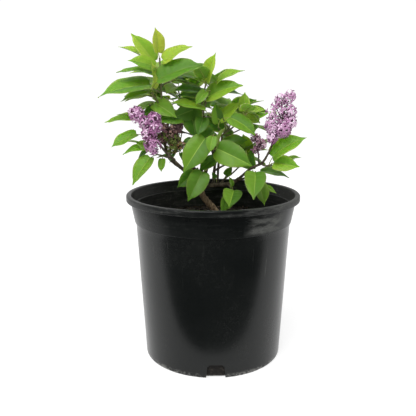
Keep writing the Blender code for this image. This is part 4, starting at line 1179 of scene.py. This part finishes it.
def make_soil():
    """The mix, filling the pot, and the chips of bark that lie on it."""
    foot = BASE_RADIUS - WALL - 2 - CLEAR
    edge = BODY_TOP_RADIUS - WALL - 1.6
    finishes = [soil_finish("mix", MIX), soil_finish("packed_mix", PACKED_MIX)]
    bed = Piece("soil_bed", finishes, "growing_mix", ["soil"])
    verts = [Vector((0, 0, soil_height(0, 0)))]
    for ring in range(1, BED_RINGS + 1):
        verts.extend(soil_ring(edge * ring / BED_RINGS))
    verts.extend(soil_ring(foot + 2, FLOOR + 4))
    verts.extend(soil_ring(foot, FLOOR + CLEAR))
    verts.append(Vector((0, 0, FLOOR + CLEAR)))
    after = [(k + 1) % BED_STEPS for k in range(BED_STEPS)]
    faces = [(0, 1 + k, 1 + after[k]) for k in range(BED_STEPS)]
    for ring in range(BED_RINGS + 1):
        near, far = 1 + ring * BED_STEPS, 1 + (ring + 1) * BED_STEPS
        faces.extend((near + k, far + k, far + after[k], near + after[k]) for k in range(BED_STEPS))
    last = 1 + (BED_RINGS + 1) * BED_STEPS
    faces.extend((last + after[k], last + k, len(verts) - 1) for k in range(BED_STEPS))
    top = BED_RINGS * BED_STEPS
    bed.add(verts, faces, [0] * top + [1] * (len(faces) - top))
    bed.finish()
    make_chips(edge)


def make_chips(edge):
    """Chips of bark and crumbs of peat, lying flat or tilted."""
    vary = random.Random(CHIP_SEED)
    finishes = [soil_finish(name, colours) for name, colours in CHIP_COLOURS.items()]
    chips = Piece("soil_chips", finishes, "growing_mix", [])
    for _ in range(CHIPS):
        spread = edge * math.sqrt(vary.uniform(0, 0.97))
        turn = vary.uniform(0, 2 * math.pi)
        size = vary.choice(CHIP_SIZES) * vary.uniform(0.7, 1.3)
        shape = Matrix.Diagonal((size, size * vary.uniform(0.4, 0.8), size * vary.uniform(0.15, 0.45)))
        spin = Matrix.Rotation(vary.uniform(0, 6.28), 3, "Z")
        spin = spin @ Matrix.Rotation(vary.gauss(0, CHIP_TILT), 3, "X")
        x, y = spread * math.cos(turn), spread * math.sin(turn)
        middle = Vector((x, y, soil_height(x, y) + 0.25 * size * vary.uniform(0, 1)))
        corners = []
        for k in range(8):
            corner = Vector((k & 1, k >> 1 & 1, k >> 2 & 1)) * 2 - Vector((1, 1, 1))
            corner = Vector(c * vary.uniform(0.55, 1.0) for c in corner)
            corners.append(middle + spin @ (shape @ corner) * 0.6)
        chips.add(corners, BLOCK_FACES, vary.choice(CHIP_KINDS))
    chips.finish(30)


# ---------------------------------------------------------------- limbs and twigs

LIMB_STEP = 1.6                  # from one ring of bark to the next
TWIG_STEP = 2.5
BARK_BACK = 2.0                  # how far a bough's bark runs back into the limb that carries it
KNOT_SEED = 41
KNOT_POINTS = 14                 # rings from one knot to the next
KNOT_SWELL = (1.05, 1.16)
NODE_POINTS = 7
NODE_SWELL = 1.25


def bark_relief(depth, grain):
    """A radius scale with furrows that run along the limb."""
    def scale(point):
        long = Vector((point.x * grain, point.y * grain, point.z * grain * 0.3))
        return 1 + depth * noise.fractal(long, 0.9, 2.0, 4)
    return scale


def fine_run(run, radii, step):
    """The same run and radii, with a point about every step millimetres."""
    length = sum((b - a).length for a, b in zip(run, run[1:]))
    count = max(4, int(length / step))
    pieces = max(1, count // max(1, len(run) - 1))
    fine = curve_through(run, pieces)
    return fine, spread_radii(radii, len(fine))


def make_limbs(runs):
    """Trunk and boughs with bark relief and knots."""
    trunk = Piece("trunk_bark", [bark_finish("old_bark", OLD_BARK)], "bark", ["trunk"])
    boughs = Piece("boughs_bark", [bark_finish("young_bark", YOUNG_BARK)],
                   "bark", [limb.name for limb in LIMBS[1:]])
    vary = random.Random(KNOT_SEED)
    for limb in LIMBS:
        run, radii = fine_run(*runs[limb.name], LIMB_STEP)
        if limb.name != "trunk":
            back = (run[0] - run[1]).normalized()
            run = [run[0] + back * BARK_BACK, *run]
            radii = [radii[0], *radii]
        for k in range(8, len(radii) - 3, KNOT_POINTS):
            swell = vary.uniform(*KNOT_SWELL)
            radii[k] *= swell
            radii[k - 1] *= (1 + swell) / 2
            radii[k + 1] *= (1 + swell) / 2
        if limb.name == "trunk":
            trunk.add(*tube(run, radii, 20, bark_relief(0.22, 0.55)))
        else:
            boughs.add(*tube(run, radii, 14, bark_relief(0.14, 0.55)))
    trunk.finish()
    boughs.finish()


def make_twigs(grown):
    """Every mass's twigs, with a swelling at each node."""
    twigs = Piece("twigs", [bark_finish("twig_bark", TWIG_BARK)], "bark", [])
    for run, radii in (twig for grew in grown.values() for twig in grew):
        fine, wide = fine_run(run, radii, TWIG_STEP)
        for k in range(3, len(wide) - 1, NODE_POINTS):
            wide[k] *= NODE_SWELL
        twigs.add(*tube(fine, wide, 8, bark_relief(0.10, 0.8)))
    twigs.finish()


# ---------------------------------------------------------------- leaves

VEINS = 7
STRIP_STARTS = (0.0, 0.16, 0.44, 0.74)   # from one side vein to the next; the first strip is the vein
VEIN_SWEEP = 0.55
ACROSS = (-1, -0.80, -0.55, -0.29, -0.035, 0.035, 0.29, 0.55, 0.80, 1)
MIDRIB = 4                       # the column of faces along the middle
RELIEF = 0.017                   # how far the blade bulges between veins, as a share of its length
DOME = 0.022                     # how far each half bulges, as a share of its length
SWELL = 0.07                     # how far the sides swell out past the middle
SWELL_START = 0.4
TIP_DRAW = 0.30                  # how far they draw in just before the tip
TIP_START = 0.80
SHEET = 0.16                     # half the thickness of a blade
STALK_BEND = 0.8
STALK_RADII = (0.75, 0.6)
RIB_RADII = (0.55, 0.12)         # of the midrib that stands out below
RIB_DEPTH = 0.25
RIB_PLACES = (0.06, 0.2, 0.4, 0.6, 0.8, 0.95)
# the deeper blade colours, partly painted shade, take the darker rib and underside
LIGHT_HALF = 3                   # the first blade colour that has the lighter rib and underside


def vein_rows():
    """Places along the midrib where strips of the blade start, and each strip's place between two veins."""
    rows = []
    for vein in range(VEINS):
        for start in STRIP_STARTS:
            rows.append(((vein + start) / VEINS, start))
    rows.append((1.0, 0.0))
    return rows


def fine_point(leaf, place, across, between, lift):
    """A point of the fine blade, whose rows bend forward along the side veins."""
    share = place + VEIN_SWEEP * abs(across) * place * (1 - place)
    draw = 1.0
    if share > TIP_START:
        draw -= TIP_DRAW * math.sin(math.pi * (share - TIP_START) / (1 - TIP_START))
    elif share > SWELL_START:
        draw += SWELL * math.sin(math.pi * (share - SWELL_START) / (TIP_START - SWELL_START))
    bulge = RELIEF * math.sin(math.pi * between) * math.sin(math.pi * min(1.0, abs(across) * 1.15))
    bulge += DOME * math.sin(math.pi * abs(across))
    return leaf.point(share, across * draw, lift + bulge * leaf.length * (1 - place))


def fine_leaf(piece, leaf, shade):
    """Two thin sheets with side veins, and a stalk that runs on below as the midrib."""
    rows = vein_rows()
    columns = len(ACROSS)
    for side in (1, -1):
        verts = []
        for place, between in rows:
            for across in ACROSS:
                edge = 1 - abs(across) ** 4
                verts.append(fine_point(leaf, place, across, between, side * SHEET * edge))
        faces, numbers = [], []
        for row in range(len(rows) - 1):
            for column in range(columns - 1):
                a = row * columns + column
                quad = (a, a + columns, a + columns + 1, a + 1)
                faces.append(quad if side > 0 else tuple(reversed(quad)))
                numbers.append(face_number(shade, side, column))
        piece.add(verts, faces, numbers)
    bend = leaf.root.lerp(leaf.base, 0.55) + leaf.normal * STALK_BEND
    stalk = curve_through((leaf.root, bend, leaf.base), 3)
    rib = [leaf.point(share, 0, -RIB_DEPTH) for share in RIB_PLACES]
    radii = spread_radii(STALK_RADII, len(stalk)) + spread_radii(RIB_RADII, len(rib))
    piece.add(*tube(stalk + rib, radii, 6), STALK_NUMBER)


def face_number(shade, side, column):
    """The material of one face of a blade. A shade's two digits are those of its two halves."""
    # where the halves' digits differ, one half is painted a step deeper than the other, as shade on the fold;
    # its rib and underside follow it
    half = shade // 10 if column < MIDRIB else shade % 10
    if column == MIDRIB:
        return RIB_DARK if half < LIGHT_HALF else RIB_LIGHT
    if side < 0:
        return UNDER_DARK if half < LIGHT_HALF else UNDER_LIGHT
    return half


def make_foliage(name, nodes, leaves, finishes):
    piece = Piece(name, finishes, "leaf", nodes)
    for leaf, shade in leaves:
        fine_leaf(piece, leaf, shade)
    piece.finish()


# ---------------------------------------------------------------- blossom

# Each list: three shades of petal, the tube and the stem, and any more shades of petal.
PETALS = (
    (0.82, 0.57, 0.76), (0.55, 0.28, 0.48), (0.34, 0.13, 0.28), (0.25, 0.09, 0.19), (0.055, 0.035, 0.030))
DUSKY = (
    (0.60, 0.38, 0.48), (0.34, 0.17, 0.24), (0.16, 0.08, 0.11), (0.10, 0.045, 0.06), (0.045, 0.030, 0.025))
FADED = (
    (0.60, 0.39, 0.32), (0.26, 0.13, 0.14), (0.12, 0.07, 0.07), (0.12, 0.08, 0.06), (0.07, 0.05, 0.03),
    (0.15, 0.20, 0.045), (0.46, 0.28, 0.12))
CAPSULES = (
    (0.09, 0.05, 0.03), (0.06, 0.03, 0.02), (0.04, 0.02, 0.013), (0.05, 0.03, 0.02), (0.05, 0.03, 0.02))
# Each bloom: florets on a lobe of 12 mm, their least and greatest size, how far they are open, and their
# shades. The first and the last are one value for all its lobes or one for each.
FULLNESS = {
    "bloom_left": ((25,), (1.20, 1.60), 0.90, ((0, 1, 1, 2, 2),)),
    "bloom_right": ((25, 25, 25, 22, 11, 17, 17, 18, 10, 9), (1.20, 1.65), 0.90, ((0, 0, 1, 1, 2),)),
    "bloom_right_small": ((34,), (0.90, 1.25), 0.65, ((0, 1, 1, 2),)),
    "bloom_faded": ((70,), (0.90, 1.30), 0.50, (
        (1, 2, 2, 1), (0, 0, 1, 2), (5, 2, 1, 5), (5, 5, 2, 5), (5, 6, 2, 5), (6, 5, 0, 2))),
    "seed_head": ((80,), (0.60, 0.90), 0.15, ((0, 1, 1, 2),)),
}
PETAL_ROWS = ((0.0, 0.12), (0.22, 0.42), (0.5, 0.62), (0.78, 0.50), (1.0, 0.08))
PETAL_LENGTH = 5.0
PETAL_WIDTH = 3.7
PETAL_RISE = 0.9                 # how it arches and how it droops at its tip, when open
PETAL_DROOP = 1.7
PETAL_THICKNESS = 0.25
OPEN_SPREAD = 0.25               # spreads of bell curves: how far open, how far off its place, how far tilted
PLACE_SPREAD = 0.16
TILT_SPREAD = 0.22
TUBE_RADII = (0.5, 0.42, 0.75)
TUBE_NUMBER = 3
STEM_NUMBER = 4


def petal(centre, out, along, size, open_share):
    """Vertices and faces of one petal, which droops and spreads as the floret opens."""
    across = out.cross(along)
    length, width = PETAL_LENGTH * size, PETAL_WIDTH * size
    verts, faces = [], []
    for share, wide in PETAL_ROWS:
        droop = open_share * (PETAL_RISE * math.sin(share * 1.9) - PETAL_DROOP * share * share)
        middle = centre + along * length * share * (0.25 + 0.75 * open_share)
        middle += out * (length * (0.95 * (1 - open_share) * share) + droop * size)
        half = across * width * wide / 2 * (0.5 + 0.5 * open_share)
        lift = out * 0.25 * width * wide * 0.5
        below = out * PETAL_THICKNESS
        verts.extend((middle - half + lift, middle, middle + half + lift,
                      middle + half * 0.8 - below, middle - half * 0.8 - below))
    for row in range(0, len(verts) - 5, 5):
        for i in range(5):
            j = (i + 1) % 5
            faces.append((row + i, row + j, row + 5 + j, row + 5 + i))
    faces.append(tuple(range(len(verts) - 5, len(verts))))
    return verts, faces


def floret(piece, centre, out, spin, size, shade, open_share):
    """Four narrow petals in a cross."""
    side = out.orthogonal().normalized()
    over = out.cross(side)
    for k in range(4):
        turn = spin + math.pi / 2 * k
        along = side * math.cos(turn) + over * math.sin(turn)
        piece.add(*petal(centre, out, along, size, open_share), shade)


def lobe_florets(piece, centre, radius, count, seed, sizes, opened, shades):
    """Florets spread evenly over a lobe, each at the end of its tube."""
    vary = random.Random(seed)
    golden = math.pi * (3 - math.sqrt(5))
    def strayed(direction, spread):
        return (direction + Vector([vary.gauss(0, spread) for _ in range(3)])).normalized()

    for k in range(count):
        height = 1 - 2 * (k + 0.5) / count
        around = math.sqrt(1 - height * height)
        out = Vector((around * math.cos(golden * k), around * math.sin(golden * k), height))
        out = strayed(out, PLACE_SPREAD)
        size = vary.uniform(*sizes)
        reach = radius * vary.uniform(0.80, 1.0) - 1.5
        place = centre + out * reach
        share = min(1.0, max(0.0, vary.gauss(opened, OPEN_SPREAD)))
        tilt = strayed(out, TILT_SPREAD)
        floret(piece, place, tilt, vary.uniform(0, 1.57), size, vary.choice(shades), share)
        inner = centre + out * radius * 0.15
        bend = inner.lerp(place, 0.5) + Vector((0, 0, 0.8))
        piece.add(*tube((inner, bend, place), TUBE_RADII, 5, cap=False), TUBE_NUMBER)


def make_panicle(bloom, runs, finishes, name, slot):
    """The stem on from the bough's tip, a branch to each lobe, and the lobes' florets."""
    piece = Piece(name, finishes, slot, [bloom.name])
    stem, branches = panicle_stems(bloom, runs)
    piece.add(*tube(stem, spread_radii(PANICLE_STEM, len(stem)), 8), STEM_NUMBER)
    for branch in branches:
        piece.add(*tube(branch, spread_radii(PANICLE_BRANCH, len(branch)), 7), STEM_NUMBER)
    fullness, sizes, opened, shades = FULLNESS[bloom.name]
    for number, (centre, radius) in enumerate(bloom.lobes):
        count = int(fullness[number % len(fullness)] * (radius / 12) ** 2)
        seed = bloom.seed * 100 + number
        lobe_florets(piece, Vector(centre), radius, count, seed, sizes, opened, shades[number % len(shades)])
    piece.finish()


def panicle_stems(bloom, runs):
    """The same stem and branches as the rule gives the solid."""
    bough_run, _ = runs[bloom.bough]
    direction = (bough_run[-1] - bough_run[-2]).normalized()
    start = bough_run[-1] + direction * CLEAR
    centres = [Vector(centre) for centre, _ in bloom.lobes]
    top = max(centres, key=lambda centre: (centre - start).length)
    foot = start + direction * STRAIGHT_START
    stem = [start, *curve_through((foot, foot.lerp(top, 0.5) + direction * 3, top), 3)]
    branches = []
    for centre in centres:
        near = min(range(2, 19), key=lambda k: (point_along(stem, k / 20)[0] - centre).length)
        foot, _ = point_along(stem, max(0.1, near / 20 - BRANCH_BACK))
        if centre is not top:
            branches.append([foot, centre])
    return stem, branches


# ---------------------------------------------------------------- growing the plant

def grow_plant():
    """Limbs, twigs, stems of panicles and leaves, each in its place by the rule."""
    runs, placed = {}, []
    for limb in LIMBS:
        run = curve_through(limb.points, 2)
        radii = spread_radii(limb.radii, len(run))
        runs[limb.name] = (run, radii)
        placed.append(tube_shape(limb.name, "limb", run, [radius + CLEAR for radius in radii], LIMB_SIDES))
    grown = {mass.name: grow_twigs(mass, runs, placed) for mass in MASSES}
    for bloom in BLOOMS:
        stem, _ = panicle_stems(bloom, runs)
        stem_radii = spread_radii(PANICLE_STEM, len(stem))
        placed.append(tube_shape(bloom.name, "twig", stem, stem_radii, TWIG_SIDES))
        for number, (centre, radius) in enumerate(bloom.lobes):
            verts, faces = lobe_solid(Vector(centre), radius, bloom.seed * 100 + number)
            placed.append(Shape(bloom.name, "lobe", verts, faces))
    leaves = {mass.name: grow_aimed(mass, grown[mass.name], placed) for mass in MASSES}
    for mass in MASSES:
        leaves[mass.name] += grow_by_rule(mass, grown[mass.name], placed)
    grown["spurs"], leaves["spurs"] = grow_spurs(runs, placed)
    return runs, grown, leaves


def spur_leaf(root, aim, seed, placed):
    """The leaf at its aim or turned a little, the first that is clear. One that never is keeps its aim."""
    heading, rise, length, roll = aim
    for turn, tilt in turns():
        leaf = Leaf(root, heading + turn, rise + tilt, length, roll, seed)
        rings, tip = leaf.rings()
        blade = Shape("spurs", "blade", *ring_solid(rings[OPEN_ROW:], tip))
        if not any(blade.touches(other) for other in placed):
            placed.append(blade)
            return leaf
    return Leaf(root, *aim, seed)


def grow_spurs(runs, placed):
    """A thin twig from its limb to each spur's end, and the leaf there."""
    grown, leaves = [], []
    for number, spur in enumerate(SPURS):
        start, leaving = point_along(runs[spur.limb][0], spur.share)
        run = twig_run(start, leaving, spur.end, SPUR_BOW)
        grown.append((run, spread_radii(SPUR_RADII, len(run))))
        *aim, shade = spur.leaf
        leaves.append((spur_leaf(run[-1], aim, SPUR_SEED + number, placed), shade))
    return grown, leaves


# ---------------------------------------------------------------- stage

CAMERA_PLACE = (-0.0087, -0.97245, 0.47445)
CAMERA_DIP = 12.417              # degrees below level
FOCAL_PIXELS = 568.5             # in a frame 416 pixels wide
FRAME_PIXELS = 416
SENSOR = 36.0
WHITE = (1, 1, 1, 1)
SOFT_LIGHT = 0.66
BACKDROP_LIGHT = 1.05
# How bright the room is in the pot's gloss, from its back towards its front
ROOM = {"From Min": 0.3, "From Max": -0.2, "To Min": 0.9, "To Max": 0.05}
KEY_PLACE = (-0.5, -1.0, 2.1)
KEY_AIM = (0, 0, 0.35)
KEY_SIZE = 1.2
KEY_POWER = 32
FLOOR_GLOW = 0.70
FLOOR_SIZE = 8.0
PAPER_EDGE = -0.195
PAPER_SLANT = 0.045              # how far back that edge runs for each metre to the right


def make_camera():
    data = bpy.data.cameras.new("camera")
    data.sensor_width = SENSOR
    data.lens = SENSOR * FOCAL_PIXELS / FRAME_PIXELS
    data.clip_start = 0.05
    camera = new_object("camera", data)
    camera.location = CAMERA_PLACE
    camera.rotation_euler = (math.radians(90 - CAMERA_DIP), 0, 0)
    bpy.context.scene.camera = camera


def make_key_light():
    data = bpy.data.lights.new("key", "AREA")
    data.shape = "RECTANGLE"
    data.size = data.size_y = KEY_SIZE
    data.energy = KEY_POWER
    light = new_object("key", data)
    light.location = KEY_PLACE
    light.rotation_euler = (Vector(KEY_AIM) - Vector(KEY_PLACE)).to_track_quat("-Z", "Y").to_euler()


def chosen(world, share, first, second):
    """The first shader where the share is 0 and the second where it is 1."""
    made = node(world, "ShaderNodeMixShader")
    for source, socket in zip((share, first, second), made.inputs):
        join(world, source, socket)
    return made.outputs[0]


def make_world():
    """White to the camera, a soft white for light, and for gloss a room that is dark at the front."""
    world = bpy.data.worlds.new("studio")
    bpy.context.scene.world = world
    world.use_nodes = True
    world.node_tree.nodes.clear()
    axes = node(world, "ShaderNodeSeparateXYZ")
    join(world, node(world, "ShaderNodeTexCoord").outputs["Generated"], axes.inputs[0])
    front = node(world, "ShaderNodeMapRange", interpolation_type="SMOOTHSTEP", **ROOM)
    join(world, axes.outputs["Y"], front.inputs["Value"])
    gloss = node(world, "ShaderNodeBackground", Color=WHITE)
    join(world, front.outputs[0], gloss.inputs["Strength"])
    soft = node(world, "ShaderNodeBackground", Color=WHITE, Strength=SOFT_LIGHT)
    plain = node(world, "ShaderNodeBackground", Color=WHITE, Strength=BACKDROP_LIGHT)
    path = node(world, "ShaderNodeLightPath")
    light = chosen(world, path.outputs["Is Glossy Ray"], soft.outputs[0], gloss.outputs[0])
    seen = chosen(world, path.outputs["Is Camera Ray"], light, plain.outputs[0])
    join(world, seen, node(world, "ShaderNodeOutputWorld").inputs["Surface"])


def make_floor():
    """A pale floor. Its front part doesn't show in the pot's gloss, as if the paper ended there."""
    finish = new_finish("pale_floor", (0.5, 0.5, 0.5), 0.9, Specular_IOR_Level=0.0,
                        Emission_Color=WHITE, Emission_Strength=FLOOR_GLOW)
    for name, near, far in (("floor", PAPER_EDGE, FLOOR_SIZE), ("floor_front", -FLOOR_SIZE, PAPER_EDGE)):
        mesh = bpy.data.meshes.new(name)
        corners = [Vector(corner) for corner in (
            (-FLOOR_SIZE, near, 0), (FLOOR_SIZE, near, 0), (FLOOR_SIZE, far, 0), (-FLOOR_SIZE, far, 0))]
        for corner in corners:
            if corner.y == PAPER_EDGE:
                corner.y += PAPER_SLANT * corner.x
        mesh.from_pydata(corners, [], [(0, 1, 2, 3)])
        mesh.materials.append(finish)
        floor = new_object(name, mesh)
        floor.visible_glossy = name == "floor"


def make_stage():
    make_camera()
    make_world()
    make_floor()
    make_key_light()
    scene = bpy.context.scene
    scene.view_settings.view_transform = "Standard"
    scene.view_settings.look = "None"


def make_blossom(runs):
    """The panicles and the seed head. Two panicles share their petals."""
    lilac = petal_finishes("petal", PETALS, 0.55)
    dusky = petal_finishes("dusky", DUSKY, 0.6)
    faded = petal_finishes("faded", FADED, 0.7)
    dead = petal_finishes("capsule", CAPSULES, 0.85)
    kinds = {
        "bloom_left": ("panicle_left", lilac, "petal"),
        "bloom_right": ("panicle_right", lilac, "petal"),
        "bloom_right_small": ("panicle_right_small", dusky, "petal"),
        "bloom_faded": ("panicle_faded", faded, "faded_petal"),
        "seed_head": ("seed_capsules", dead, "faded_petal"),
    }
    for bloom in BLOOMS:
        name, petals, slot = kinds[bloom.name]
        make_panicle(bloom, runs, petals, name, slot)


def main():
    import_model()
    make_stage()
    runs, grown, leaves = grow_plant()
    make_pot()
    make_soil()
    make_limbs(runs)
    make_twigs(grown)
    finishes = leaf_finishes()
    for mass in MASSES:
        make_foliage("foliage" + mass.name[len("leaves"):], [mass.name], leaves[mass.name], finishes)
    make_foliage("foliage_spurs", [], leaves["spurs"], finishes)
    make_blossom(runs)


main()
